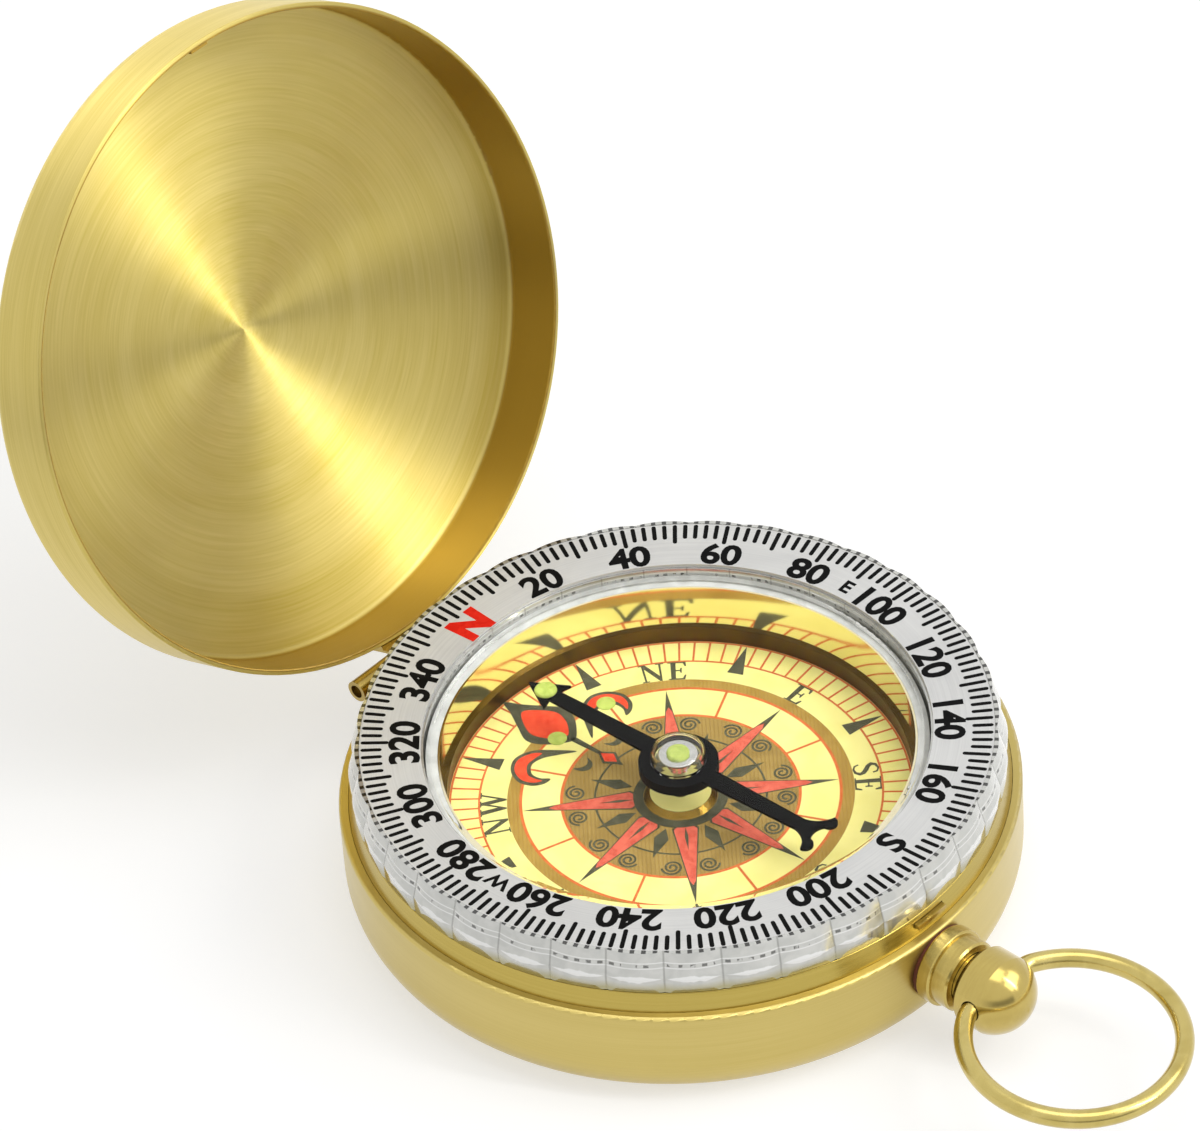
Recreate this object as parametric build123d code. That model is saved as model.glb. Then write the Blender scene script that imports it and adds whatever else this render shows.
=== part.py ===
"""A brass pocket compass with a hinged lid, a turning clear bezel and a push crown that carries a bow ring.

Millimetres. The origin is at the middle of the flat bottom of the case, +Z is up, the crown points along +X
and the lid's hinge is on the -X side, with its axis along Y. The lid is modelled shut and turned open.
"""

from build123d import *
import math
import os

# Clearances
SEAT_GAP = 0.02          # a pressed or glued seat
RUNNING_GAP = 0.06       # a pin or stem that turns or slides in its hole
TURNING_GAP = 0.12       # the bezel and other large rings that turn
SIDE_GAP = 0.1           # the ends of the hinge's knuckles and other loose places
JOIN_OVERLAP = 0.15      # how far a form reaches into the one that it is made one with
CUT_OVERSHOOT = 1.0      # how far a cutting form reaches past the surface that it cuts

# Case
CASE_RADIUS = 25.0
CASE_WALL = 0.7
CASE_FLOOR = 0.8
CASE_EDGE_RADIUS = 3.5   # the round edge of the bottom
SHOULDER_HEIGHT = 8.4    # the top of the case wall, where the lid's rim comes down
SHOULDER_ROUND = 0.25

# Brass band in the mouth of the case
BAND_DEPTH = 1.2         # reach below the shoulder
BAND_RISE = 1.5          # height above the shoulder
BAND_LEAN = 0.42         # how far the band's top leans in
BAND_LIP = 0.24          # width of the band's top edge
BAND_WALL = 0.45
BAND_ROUND = 0.12

# Turning bezel and its printed scale ring
BEZEL_WIDTH = 5.03       # from the foot to the bore
BEZEL_HEIGHT = 3.75
BEZEL_DROP = 0.3         # how far its foot lies below the band's top
BEZEL_SKIRT = 0.55       # how far the lobes' crests overhang the foot
BEZEL_LEAN = 0.6         # how far the lobed skirt leans in towards the top
BEZEL_CREST_DROP = 2.05  # the widest place, below the top
BEZEL_UNDERCUT = 0.15    # the skirt's lower edge inside its widest place
BEZEL_UNDERCUT_HEIGHT = 0.9
BEZEL_LOBES = 36
BEZEL_LOBE_DEPTH = 0.22
BEZEL_LIP = 0.13         # least width of the clear rim outside the scale
SCALE_THICKNESS = 0.3
SCALE_SINK = 0.05        # the scale's outer edge below the bezel's top
SCALE_DISH = 0.15        # the scale's inner edge below its outer edge
SCALE_SET_OUT = 0.18     # the scale's inner edge from the bezel's bore
SLIP_WASHER = 0.25
SLIP_GAP = 0.05          # between the washer and the bezel
SNAP_RAISE = 1.2         # the bead that holds the bezel down, above the bezel's underside
SNAP_RISE = 0.16
SNAP_WIDTH = 0.5

# Sealed capsule
SEAT_HEIGHT = 4.7        # the moulded ring under the capsule
SEAT_BORE_RADIUS = 10.0
SEAT_LIP = 0.8
SEAT_LIP_RISE = 1.6
CAPSULE_WALL = 0.85
CAPSULE_FLOOR = 0.9
CAPSULE_FLANGE = 0.7
CAPSULE_FLANGE_WIDTH = 2.15
CAPSULE_RISE = 2.4       # the capsule's top above the bezel's foot
CRYSTAL_RABBET = 0.35    # width of the wall left outside the window
CRYSTAL_SINK = 0.2       # the window's underside below the capsule's top
CRYSTAL_THICKNESS = 0.9
CRYSTAL_ROUND = 0.2

# Dial and the two rings that line the capsule above it
DIAL_THICKNESS = 0.3
DIAL_BAND_HEIGHT = 1.4
DIAL_BAND_WALL = 0.42
LINER_WALL = 0.16

# Pivot
PIVOT_RADIUS = 0.45
PIVOT_TIP_LENGTH = 1.3
PIVOT_TIP_RADIUS = 0.08
PIVOT_BASE_RADIUS = 2.7
PIVOT_BASE_HEIGHT = 0.45
PIVOT_BASE_BEVEL = 0.4

# Needle and its hub
NEEDLE_TURN = 2.6        # degrees from the line of crown and hinge, where it came to rest
NEEDLE_DROP = 1.85       # underside of the arms below the window
NEEDLE_THICKNESS = 0.25
NEEDLE_ROOT_WIDTH = 1.6
NEEDLE_END_WIDTH = 1.15
HEAD_CLEARANCE = 3.1     # tip of the north arrow from the capsule's wall
HEAD_LENGTH = 2.5
HEAD_WIDTH = 3.1
HEAD_BARB = 0.3
TAIL_SHORTER = 0.8       # how much shorter the south arm is than the north one
TAIL_LENGTH = 2.1        # the south fishtail
TAIL_WIDTH = 4.0
TAIL_LOBE = 0.6          # radius of the fishtail's two ends
TAIL_HOLLOW = 0.28       # depth of the hollow between the lobes
TAIL_FLARE_AT = 0.7      # where the flare's curve passes, along and across from the neck
TAIL_FLARE_OUT = 0.35
HUB_RADIUS = 2.95
HUB_BORE_RADIUS = 2.05
HUB_HEIGHT = 0.85
CAP_PROUD = 0.1          # the bearing cap above the needle's ring
DOME_HEADROOM = 0.25     # between the hub's dome and the window
DOME_WALL = 0.2
DOME_ROUND = 0.7
JEWEL_RADIUS = 0.9
JEWEL_HEIGHT = 0.7
JEWEL_PROUD = 0.45       # the jewel's top above the needle's ring
JEWEL_CUP_RADIUS = 0.55
JEWEL_CUP_DEPTH = 0.45
WASHER_RADIUS = 1.45
WASHER_HEIGHT = 0.16
WASHER_ROUND = 0.08
LUME_RADIUS = 0.85
LUME_HEIGHT = 0.2
LUME_ROUND = 0.16
NORTH_LUME_BACK = 1.65   # middle of the dab from the arrow's tip

# Lid
LID_SET_IN = 0.05        # the lid's wall inside the case's outside
LID_WALL = 0.45
LID_SEAT_GAP = 0.1       # between the lid's rim and the shoulder when shut
LID_HEADROOM = 0.05      # the ceiling's edge over the bezel when shut; the dome adds to it
LID_DOME_RISE = 2.4
LID_EDGE_RADIUS = 1.0
LID_INNER_ROUND = 0.55
LID_RIM_ROUND = 0.12
LID_OPEN_ANGLE = 109.4
LID_RIB_WIDTH = 1.6      # pressed rib that snaps under the tongue
LID_RIB_HEIGHT = 0.4
LID_RIB_REACH = 0.2

# Hinge
HINGE_OUT = 1.0          # axis outside the case's wall
HINGE_DROP = 0.9         # axis below the shoulder
KNUCKLE_RADIUS = 0.85
PIN_RADIUS = 0.48
PIN_RECESS = 0.8         # the pin's ends inside the open ends of the tubes
LID_KNUCKLE_LENGTH = 6.3
CASE_KNUCKLE_LENGTH = 4.1
LID_LEAF_HEIGHT = 1.5
CASE_LEAF_HEIGHT = 1.9

# Crown, its stem and the latch
CROWN_DROP = 3.0         # the crown's axis below the shoulder
CROWN_RADIUS = 3.02
CROWN_LENGTH = 4.75
CROWN_BARREL_END = 2.4   # from the crown's back to the foot of the dome
CROWN_CONE_LENGTH = 0.45     # the conical back
CROWN_CONE_DROP = 0.4
CROWN_BOSS_RADIUS = 2.0
CROWN_BOSS_LENGTH = 0.9
CROWN_TRAVEL = 0.5
SADDLE_WASHER = 0.2
SADDLE_RADIUS = 2.85
FLANGE_RADIUS = 3.0
FLANGE_LENGTH = 1.15
FLANGE_ROUND = 0.15
COLLAR_RADIUS = 2.74
COLLAR_LENGTH = 1.4
COLLAR_GAP = 0.6         # between collar and crown
COLLAR_CHAMFER = 0.15
SHANK_RADIUS = 1.6
SHANK_REACH = 1.05       # how far the shank comes through to the inside
STEM_RADIUS = 0.8
STEM_IN_CROWN = 0.95
CLIP_RADIUS = 1.5
CLIP_THICKNESS = 0.4
CLIP_GROOVE = 0.2
TONGUE_WIDTH = 3.0
TONGUE_THICKNESS = 0.35
TONGUE_GAP = 0.15        # between the tongue and the bezel's underside
TONGUE_PROUD = 0.32      # how far the tongue stands out of the band
TONGUE_LEG = 0.5
TONGUE_FOOT = 1.5        # leg below the stem's axis
LATCH_ROOM = 0.6         # between the capsule's flange and the pressed latch
SPRING_THICKNESS = 0.2
SPRING_HEIGHT = 2.4
SPRING_HALF_SPAN = 4.2
SPRING_STAND_OFF = 0.4   # outer face of the spring's ends from the seat

# Bow ring
BOW_RADIUS = 7.8         # middle of the wire
BOW_WIRE_RADIUS = 0.7
BOW_IN_CROWN = 1.9       # the wire's holes from the crown's back
BOW_RAISE = 0.4          # the holes above the crown's axis
BOW_PIN_DEPTH = 1.05     # how far the wire's straight ends go into the crown
BOW_BEND_RADIUS = 2.0    # where the straight ends turn into the ring
BOW_BEND_ANGLE = 28.0
BOW_DROOP = 3.0          # how far the ring hangs below level, in degrees

# Sizes that follow from those above
INNER_RADIUS = CASE_RADIUS - CASE_WALL
BAND_RADIUS = INNER_RADIUS - SEAT_GAP
BAND_BORE = BAND_RADIUS - BAND_LEAN - BAND_LIP
BAND_TOP = SHOULDER_HEIGHT + BAND_RISE
BEZEL_RADIUS = BAND_BORE - TURNING_GAP
BEZEL_BORE = BEZEL_RADIUS - BEZEL_WIDTH
BEZEL_BOTTOM = BAND_TOP - BEZEL_DROP
BEZEL_TOP = BEZEL_BOTTOM + BEZEL_HEIGHT
SNAP_HEIGHT = BEZEL_BOTTOM + SNAP_RAISE
CREST_RADIUS = BEZEL_RADIUS + BEZEL_SKIRT
CREST_HEIGHT = BEZEL_TOP - BEZEL_CREST_DROP
SKIRT_BOTTOM = BAND_TOP + SIDE_GAP
BEZEL_TOP_RADIUS = CREST_RADIUS - BEZEL_LEAN
SCALE_RADIUS = BEZEL_TOP_RADIUS - BEZEL_LOBE_DEPTH - BEZEL_LIP
SCALE_OUTER_TOP = BEZEL_TOP - SCALE_SINK
SCALE_INNER_TOP = SCALE_OUTER_TOP - SCALE_DISH
CAPSULE_RADIUS = BEZEL_BORE - TURNING_GAP
CAPSULE_BORE = CAPSULE_RADIUS - CAPSULE_WALL
CAPSULE_BOTTOM = CASE_FLOOR + SEAT_HEIGHT
CAPSULE_TOP = BEZEL_BOTTOM + CAPSULE_RISE
CAPSULE_FLANGE_TOP = BEZEL_BOTTOM - SLIP_GAP - SLIP_WASHER
CAPSULE_FLANGE_RADIUS = CAPSULE_RADIUS + CAPSULE_FLANGE_WIDTH
CRYSTAL_RADIUS = CAPSULE_RADIUS - CRYSTAL_RABBET
CRYSTAL_BOTTOM = CAPSULE_TOP - CRYSTAL_SINK
CRYSTAL_TOP = CRYSTAL_BOTTOM + CRYSTAL_THICKNESS
SCALE_BORE_RADIUS = BEZEL_BORE + SCALE_SET_OUT
DIAL_BOTTOM = CAPSULE_BOTTOM + CAPSULE_FLOOR
DIAL_TOP = DIAL_BOTTOM + DIAL_THICKNESS
DIAL_RADIUS = CAPSULE_BORE - SEAT_GAP
DIAL_BAND_TOP = DIAL_TOP + DIAL_BAND_HEIGHT
NEEDLE_HEIGHT = CRYSTAL_BOTTOM - NEEDLE_DROP
NEEDLE_TOP = NEEDLE_HEIGHT + NEEDLE_THICKNESS
HEAD_TIP = CAPSULE_BORE - HEAD_CLEARANCE
HEAD_BASE = HEAD_TIP - HEAD_LENGTH
NORTH_LUME_AT = HEAD_TIP - NORTH_LUME_BACK
TAIL_END = HEAD_TIP - TAIL_SHORTER
TAIL_NECK = TAIL_END - TAIL_LENGTH
CAP_TOP = NEEDLE_TOP + CAP_PROUD
JEWEL_TOP = NEEDLE_TOP + JEWEL_PROUD
HUB_WASHER_TOP = JEWEL_TOP + WASHER_HEIGHT
DOME_TOP = CRYSTAL_BOTTOM - DOME_HEADROOM
LID_RADIUS = CASE_RADIUS - LID_SET_IN
LID_RIM = SHOULDER_HEIGHT + LID_SEAT_GAP
LID_BORE = LID_RADIUS - LID_WALL
LID_CEILING = BEZEL_TOP + LID_HEADROOM
HINGE_OFFSET = CASE_RADIUS + HINGE_OUT
HINGE_HEIGHT = SHOULDER_HEIGHT - HINGE_DROP
HINGE_AXIS = Axis((-HINGE_OFFSET, 0, HINGE_HEIGHT), (0, 1, 0))
PIN_LENGTH = LID_KNUCKLE_LENGTH + 2 * (SIDE_GAP + CASE_KNUCKLE_LENGTH - PIN_RECESS)
CROWN_HEIGHT = SHOULDER_HEIGHT - CROWN_DROP
FLANGE_START = CASE_RADIUS + SADDLE_WASHER
COLLAR_END = FLANGE_START + FLANGE_LENGTH + COLLAR_LENGTH
CROWN_START = COLLAR_END + COLLAR_GAP
SHANK_END = CASE_RADIUS - SHANK_REACH
TONGUE_BOTTOM = BEZEL_BOTTOM - TONGUE_GAP - TONGUE_THICKNESS
TONGUE_LEG_AT = CAPSULE_FLANGE_RADIUS + LATCH_ROOM + CROWN_TRAVEL
BOW_AT = CROWN_START + BOW_IN_CROWN
BOW_HEIGHT = CROWN_HEIGHT + BOW_RAISE
BOW_HOLE_RADIUS = BOW_WIRE_RADIUS + RUNNING_GAP + SEAT_GAP


def turned(*outline, rounds=None):
    """A ring or disc turned about the compass's axis from an outline of (radius, height) points."""
    return revolve(Plane.XZ * rounded_face(outline, rounds), Axis.Z)


def turned_on_crown(*outline, rounds=None):
    """A solid turned about the crown's axis from an outline of (place along X, radius) points."""
    face = Plane.XZ * rounded_face(outline, rounds)
    return Pos(0, 0, CROWN_HEIGHT) * revolve(face, Axis.X)


def rounded_face(outline, rounds):
    """A closed face whose corners named in rounds, by their place in the outline, are rounded."""
    if not rounds:
        return make_face(Polyline(*outline, close=True))
    radii = [rounds.get(place, 0) for place in range(len(outline))]
    return make_face(FilletPolyline(*outline, radius=radii, close=True))


def block(low, high):
    """A box between two corners."""
    size = [b - a for a, b in zip(low, high)]
    middle = [(a + b) / 2 for a, b in zip(low, high)]
    return Pos(*middle) * Box(*size)


def rod_y(radius, length, x, z):
    """A round bar along Y, centred on the plane of symmetry."""
    return Pos(x, 0, z) * Rot(90, 0, 0) * Cylinder(radius, length)


def drum(radius, low, high):
    """A solid disc on the compass's axis between two heights."""
    return Pos(0, 0, (low + high) / 2) * Cylinder(radius, high - low)


def opened(shut):
    """A piece of the lid, turned from its shut place to the open one."""
    return shut.rotate(HINGE_AXIS, -LID_OPEN_ANGLE)


# Case

def case_shell():
    """The spun brass bowl, with a hole in its wall for the crown's collar."""
    inner_edge = CASE_EDGE_RADIUS - CASE_WALL
    bowl = turned(
        (0, 0),
        (CASE_RADIUS, 0),
        (CASE_RADIUS, SHOULDER_HEIGHT),
        (INNER_RADIUS, SHOULDER_HEIGHT),
        (INNER_RADIUS, CASE_FLOOR),
        (0, CASE_FLOOR),
        rounds={1: CASE_EDGE_RADIUS, 2: SHOULDER_ROUND, 4: inner_edge},
    )
    hole = turned_on_crown(
        (SHANK_END, 0),
        (SHANK_END, SHANK_RADIUS + SEAT_GAP),
        (FLANGE_START, SHANK_RADIUS + SEAT_GAP),
        (FLANGE_START, 0),
    )
    return bowl - hole


def mouth_band():
    """The brass band in the case's mouth, which leans in around the bezel and is slotted for the tongue."""
    bottom = SHOULDER_HEIGHT - BAND_DEPTH
    band = turned(
        (BAND_RADIUS, bottom),
        (BAND_RADIUS, SHOULDER_HEIGHT),
        (BAND_RADIUS - BAND_LEAN, BAND_TOP),
        (BAND_BORE, BAND_TOP),
        (BAND_BORE, SHOULDER_HEIGHT),
        (BAND_RADIUS - BAND_WALL, SHOULDER_HEIGHT - BAND_WALL),
        (BAND_RADIUS - BAND_WALL, bottom),
        rounds={2: BAND_ROUND},
    )
    half = TONGUE_WIDTH / 2 + RUNNING_GAP
    slot = block(
        (BAND_BORE - CUT_OVERSHOOT, -half, TONGUE_BOTTOM - RUNNING_GAP),
        (CASE_RADIUS, half, TONGUE_BOTTOM + TONGUE_THICKNESS + RUNNING_GAP),
    )
    return band - slot


# Capsule

def capsule_cup():
    """The clear cup that holds the dial and the needle, with a flange under the bezel and a snap bead."""
    bead_low = SNAP_HEIGHT - SNAP_WIDTH / 2
    bead_high = SNAP_HEIGHT + SNAP_WIDTH / 2
    rabbet = CRYSTAL_RADIUS + SEAT_GAP
    cup = turned(
        (0, CAPSULE_BOTTOM),
        (CAPSULE_RADIUS, CAPSULE_BOTTOM),
        (CAPSULE_RADIUS, CAPSULE_FLANGE_TOP - CAPSULE_FLANGE),
        (CAPSULE_FLANGE_RADIUS, CAPSULE_FLANGE_TOP - CAPSULE_FLANGE),
        (CAPSULE_FLANGE_RADIUS, CAPSULE_FLANGE_TOP),
        (CAPSULE_RADIUS, CAPSULE_FLANGE_TOP),
        (CAPSULE_RADIUS, bead_low),
        (CAPSULE_RADIUS + SNAP_RISE, SNAP_HEIGHT),
        (CAPSULE_RADIUS, bead_high),
        (CAPSULE_RADIUS, CAPSULE_TOP),
        (rabbet, CAPSULE_TOP),
        (rabbet, CRYSTAL_BOTTOM - SEAT_GAP),
        (CAPSULE_BORE, CRYSTAL_BOTTOM - SEAT_GAP),
        (CAPSULE_BORE, DIAL_BOTTOM),
        (0, DIAL_BOTTOM),
    )
    return cup - drum(PIVOT_RADIUS + SEAT_GAP, CAPSULE_BOTTOM - CUT_OVERSHOOT, DIAL_BOTTOM + CUT_OVERSHOOT)


def capsule_seat():
    """The moulded ring that stands on the case's floor and holds the capsule in its lip."""
    lip_bore = CAPSULE_RADIUS + SEAT_GAP
    lip_radius = lip_bore + SEAT_LIP
    return turned(
        (SEAT_BORE_RADIUS, CASE_FLOOR),
        (lip_radius, CASE_FLOOR),
        (lip_radius, CAPSULE_BOTTOM + SEAT_LIP_RISE),
        (lip_bore, CAPSULE_BOTTOM + SEAT_LIP_RISE),
        (lip_bore, CAPSULE_BOTTOM),
        (SEAT_BORE_RADIUS, CAPSULE_BOTTOM),
    )


def crystal():
    """The clear window, with a rounded top edge."""
    return turned(
        (0, CRYSTAL_BOTTOM),
        (CRYSTAL_RADIUS, CRYSTAL_BOTTOM),
        (CRYSTAL_RADIUS, CRYSTAL_TOP),
        (0, CRYSTAL_TOP),
        rounds={2: CRYSTAL_ROUND},
    )


def slip_washer():
    """The plastic washer that the bezel turns on."""
    bottom = CAPSULE_FLANGE_TOP
    return turned(
        (CAPSULE_RADIUS + SEAT_GAP, bottom),
        (CAPSULE_FLANGE_RADIUS, bottom),
        (CAPSULE_FLANGE_RADIUS, bottom + SLIP_WASHER),
        (CAPSULE_RADIUS + SEAT_GAP, bottom + SLIP_WASHER),
    )


def dial_card():
    """The printed dial."""
    disc = drum(DIAL_RADIUS, DIAL_BOTTOM, DIAL_TOP)
    return disc - drum(PIVOT_RADIUS + SEAT_GAP, DIAL_BOTTOM - CUT_OVERSHOOT, DIAL_TOP + CUT_OVERSHOOT)


def dial_band():
    """The bronze ring that holds the dial's edge down."""
    return turned(
        (DIAL_RADIUS - DIAL_BAND_WALL, DIAL_TOP),
        (DIAL_RADIUS, DIAL_TOP),
        (DIAL_RADIUS, DIAL_BAND_TOP),
        (DIAL_RADIUS - DIAL_BAND_WALL, DIAL_BAND_TOP),
    )


def mirror_liner():
    """The bright ring that lines the capsule's wall between the dial's band and the window."""
    return turned(
        (DIAL_RADIUS - LINER_WALL, DIAL_BAND_TOP),
        (DIAL_RADIUS, DIAL_BAND_TOP),
        (DIAL_RADIUS, CRYSTAL_BOTTOM - SEAT_GAP),
        (DIAL_RADIUS - LINER_WALL, CRYSTAL_BOTTOM - SEAT_GAP),
    )


def pivot_base():
    """The low bevelled boss at the middle of the dial."""
    top = DIAL_TOP + PIVOT_BASE_HEIGHT
    return turned(
        (PIVOT_RADIUS + SEAT_GAP, DIAL_TOP),
        (PIVOT_BASE_RADIUS, DIAL_TOP),
        (PIVOT_BASE_RADIUS - PIVOT_BASE_BEVEL, top),
        (PIVOT_RADIUS + SEAT_GAP, top),
    )


def jewel_floor():
    """Height of the top of the cup in the jewel, where the pivot's tip bears."""
    return JEWEL_TOP - JEWEL_HEIGHT + JEWEL_CUP_DEPTH


def pivot_post():
    """The pointed steel post that the needle balances on."""
    tip = jewel_floor() - RUNNING_GAP
    return turned(
        (0, CAPSULE_BOTTOM),
        (PIVOT_RADIUS, CAPSULE_BOTTOM),
        (PIVOT_RADIUS, tip - PIVOT_TIP_LENGTH),
        (PIVOT_TIP_RADIUS, tip),
        (0, tip),
    )


# Needle. It is drawn with its north end at the hinge, along -X, and then turned to where it rests.

def needle():
    """The blackened needle: a barbed arrow to the north, a fishtail to the south and a ring for the hub."""
    root = NEEDLE_ROOT_WIDTH / 2
    end = NEEDLE_END_WIDTH / 2
    barb = HEAD_WIDTH / 2
    north_arm = make_face(Polyline((0, root), (-HEAD_BASE, end), (-HEAD_BASE, -end), (0, -root), close=True))
    head = make_face(
        Polyline(
            (-HEAD_TIP, 0),
            (-HEAD_BASE + HEAD_BARB, barb),
            (-HEAD_BASE, end),
            (-HEAD_BASE, -end),
            (-HEAD_BASE + HEAD_BARB, -barb),
            close=True,
        )
    )
    south_arm = make_face(Polyline((0, root), (TAIL_NECK, end), (TAIL_NECK, -end), (0, -root), close=True))
    tail = south_tail(end)
    plan = Circle(HUB_RADIUS) + north_arm + head + south_arm + tail - Circle(HUB_BORE_RADIUS)
    blade = Pos(0, 0, NEEDLE_HEIGHT) * extrude(plan, NEEDLE_THICKNESS)
    ring_bottom = NEEDLE_TOP - HUB_HEIGHT
    bore = drum(HUB_BORE_RADIUS, ring_bottom - CUT_OVERSHOOT, NEEDLE_TOP + CUT_OVERSHOOT)
    hub = drum(HUB_RADIUS, ring_bottom, NEEDLE_TOP) - bore
    return Rot(0, 0, NEEDLE_TURN) * (blade + hub)


def south_tail(neck):
    """The fishtail's outline: a flare that ends in two round lobes with a hollow between them."""
    lobe_x = TAIL_END - TAIL_LOBE
    lobe_y = TAIL_WIDTH / 2 - TAIL_LOBE
    hollow = lobe_x - TAIL_HOLLOW
    outline = [
        Line((TAIL_NECK - JOIN_OVERLAP, neck), (TAIL_NECK - JOIN_OVERLAP, -neck)),
        ThreePointArc(
            (TAIL_NECK - JOIN_OVERLAP, -neck),
            (TAIL_NECK + TAIL_FLARE_AT, -neck - TAIL_FLARE_OUT),
            (lobe_x, -lobe_y - TAIL_LOBE),
        ),
        ThreePointArc((lobe_x, -lobe_y - TAIL_LOBE), (TAIL_END, -lobe_y), (lobe_x, -lobe_y + TAIL_LOBE)),
        ThreePointArc((lobe_x, -lobe_y + TAIL_LOBE), (hollow, 0), (lobe_x, lobe_y - TAIL_LOBE)),
        ThreePointArc((lobe_x, lobe_y - TAIL_LOBE), (TAIL_END, lobe_y), (lobe_x, lobe_y + TAIL_LOBE)),
        ThreePointArc(
            (lobe_x, lobe_y + TAIL_LOBE),
            (TAIL_NECK + TAIL_FLARE_AT, neck + TAIL_FLARE_OUT),
            (TAIL_NECK - JOIN_OVERLAP, neck),
        ),
    ]
    return make_face(outline)


def bearing_cap():
    """The clear bush that fills the needle's ring and holds the jewel."""
    radius = HUB_BORE_RADIUS - SEAT_GAP
    bottom = NEEDLE_TOP - HUB_HEIGHT
    return turned(
        (JEWEL_RADIUS + SEAT_GAP, bottom),
        (radius, bottom),
        (radius, CAP_TOP),
        (JEWEL_RADIUS + SEAT_GAP, CAP_TOP),
    )


def hub_dome():
    """The clear dome over the jewel and its washer."""
    radius = HUB_BORE_RADIUS - SEAT_GAP
    return turned(
        (0, DOME_TOP - DOME_WALL),
        (radius - DOME_WALL, DOME_TOP - DOME_WALL),
        (radius - DOME_WALL, CAP_TOP),
        (radius, CAP_TOP),
        (radius, DOME_TOP),
        (0, DOME_TOP),
        rounds={1: DOME_ROUND - DOME_WALL, 4: DOME_ROUND},
    )


def jewel():
    """The bearing jewel, hollowed underneath for the pivot's tip."""
    bottom = JEWEL_TOP - JEWEL_HEIGHT
    return turned(
        (0, jewel_floor()),
        (JEWEL_CUP_RADIUS, bottom),
        (JEWEL_RADIUS, bottom),
        (JEWEL_RADIUS, JEWEL_TOP),
        (0, JEWEL_TOP),
    )


def hub_washer():
    """The bright washer on top of the jewel."""
    return turned(
        (0, JEWEL_TOP),
        (WASHER_RADIUS, JEWEL_TOP),
        (WASHER_RADIUS, HUB_WASHER_TOP),
        (0, HUB_WASHER_TOP),
        rounds={2: WASHER_ROUND},
    )


def lume_dab(height):
    """A rounded dab of luminous paint on the compass's axis."""
    return turned(
        (0, height),
        (LUME_RADIUS, height),
        (LUME_RADIUS, height + LUME_HEIGHT),
        (0, height + LUME_HEIGHT),
        rounds={2: LUME_ROUND},
    )


def hub_lume():
    return lume_dab(HUB_WASHER_TOP)


def north_lume():
    return Rot(0, 0, NEEDLE_TURN) * Pos(-NORTH_LUME_AT, 0, 0) * lume_dab(NEEDLE_TOP)


# Bezel

def bezel_ring():
    """The clear bezel: a lobed skirt outside, a recess for the scale and a snap groove inside."""
    groove_low = SNAP_HEIGHT - SNAP_WIDTH
    groove_high = SNAP_HEIGHT + SNAP_WIDTH
    groove = BEZEL_BORE + SNAP_RISE
    floor_outer = SCALE_OUTER_TOP - SCALE_THICKNESS
    floor_inner = SCALE_INNER_TOP - SCALE_THICKNESS
    outside = CREST_RADIUS + CUT_OVERSHOOT
    section = turned(
        (BEZEL_BORE, BEZEL_BOTTOM),
        (BEZEL_RADIUS, BEZEL_BOTTOM),
        (BEZEL_RADIUS, SKIRT_BOTTOM),
        (CREST_RADIUS - BEZEL_UNDERCUT, SKIRT_BOTTOM),
        (CREST_RADIUS, SKIRT_BOTTOM + BEZEL_UNDERCUT_HEIGHT),
        (outside, SKIRT_BOTTOM + BEZEL_UNDERCUT_HEIGHT),
        (outside, BEZEL_TOP),
        (SCALE_RADIUS + SEAT_GAP, BEZEL_TOP),
        (SCALE_RADIUS + SEAT_GAP, floor_outer),
        (SCALE_BORE_RADIUS, floor_inner),
        (BEZEL_BORE, floor_inner),
        (BEZEL_BORE, groove_high),
        (groove, groove_high),
        (groove, groove_low),
        (BEZEL_BORE, groove_low),
    )
    return section & lobed_skirt()


def lobed_skirt():
    """The lobed outside as a solid: straight up to the crest, then leaning in to the top."""
    straight = Pos(0, 0, BEZEL_BOTTOM) * extrude(lobed_outline(CREST_RADIUS), CREST_HEIGHT - BEZEL_BOTTOM)
    foot = Pos(0, 0, CREST_HEIGHT) * lobed_outline(CREST_RADIUS)
    head = Pos(0, 0, BEZEL_TOP) * lobed_outline(BEZEL_TOP_RADIUS)
    return straight + loft([foot, head], ruled=True)


def lobed_outline(crest):
    """A circle of shallow convex lobes that meet in cusps."""
    cusp = crest - BEZEL_LOBE_DEPTH
    step = 360 / BEZEL_LOBES
    arcs = []
    for lobe in range(BEZEL_LOBES):
        start = lobe * step
        middle = start + step / 2
        end = start + step
        arcs.append(ThreePointArc(polar(cusp, start), polar(crest, middle), polar(cusp, end)))
    return make_face(arcs)


def polar(radius, degrees):
    """A point in the plan from its radius and direction."""
    turn = math.radians(degrees)
    return (radius * math.cos(turn), radius * math.sin(turn))


def scale_ring():
    """The silvered ring that carries the degrees, dished a little towards the window."""
    drop = SCALE_THICKNESS - SEAT_GAP
    return turned(
        (SCALE_BORE_RADIUS, SCALE_INNER_TOP - drop),
        (SCALE_RADIUS, SCALE_OUTER_TOP - drop),
        (SCALE_RADIUS, SCALE_OUTER_TOP),
        (SCALE_BORE_RADIUS, SCALE_INNER_TOP),
    )


# Lid and hinge

def dome_point(radius, apex, rise, span):
    """Height of a shallow dome of the given rise over the given span, at one radius."""
    sphere = (span * span + rise * rise) / (2 * rise)
    return apex - sphere + math.sqrt(sphere * sphere - radius * radius)


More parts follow.
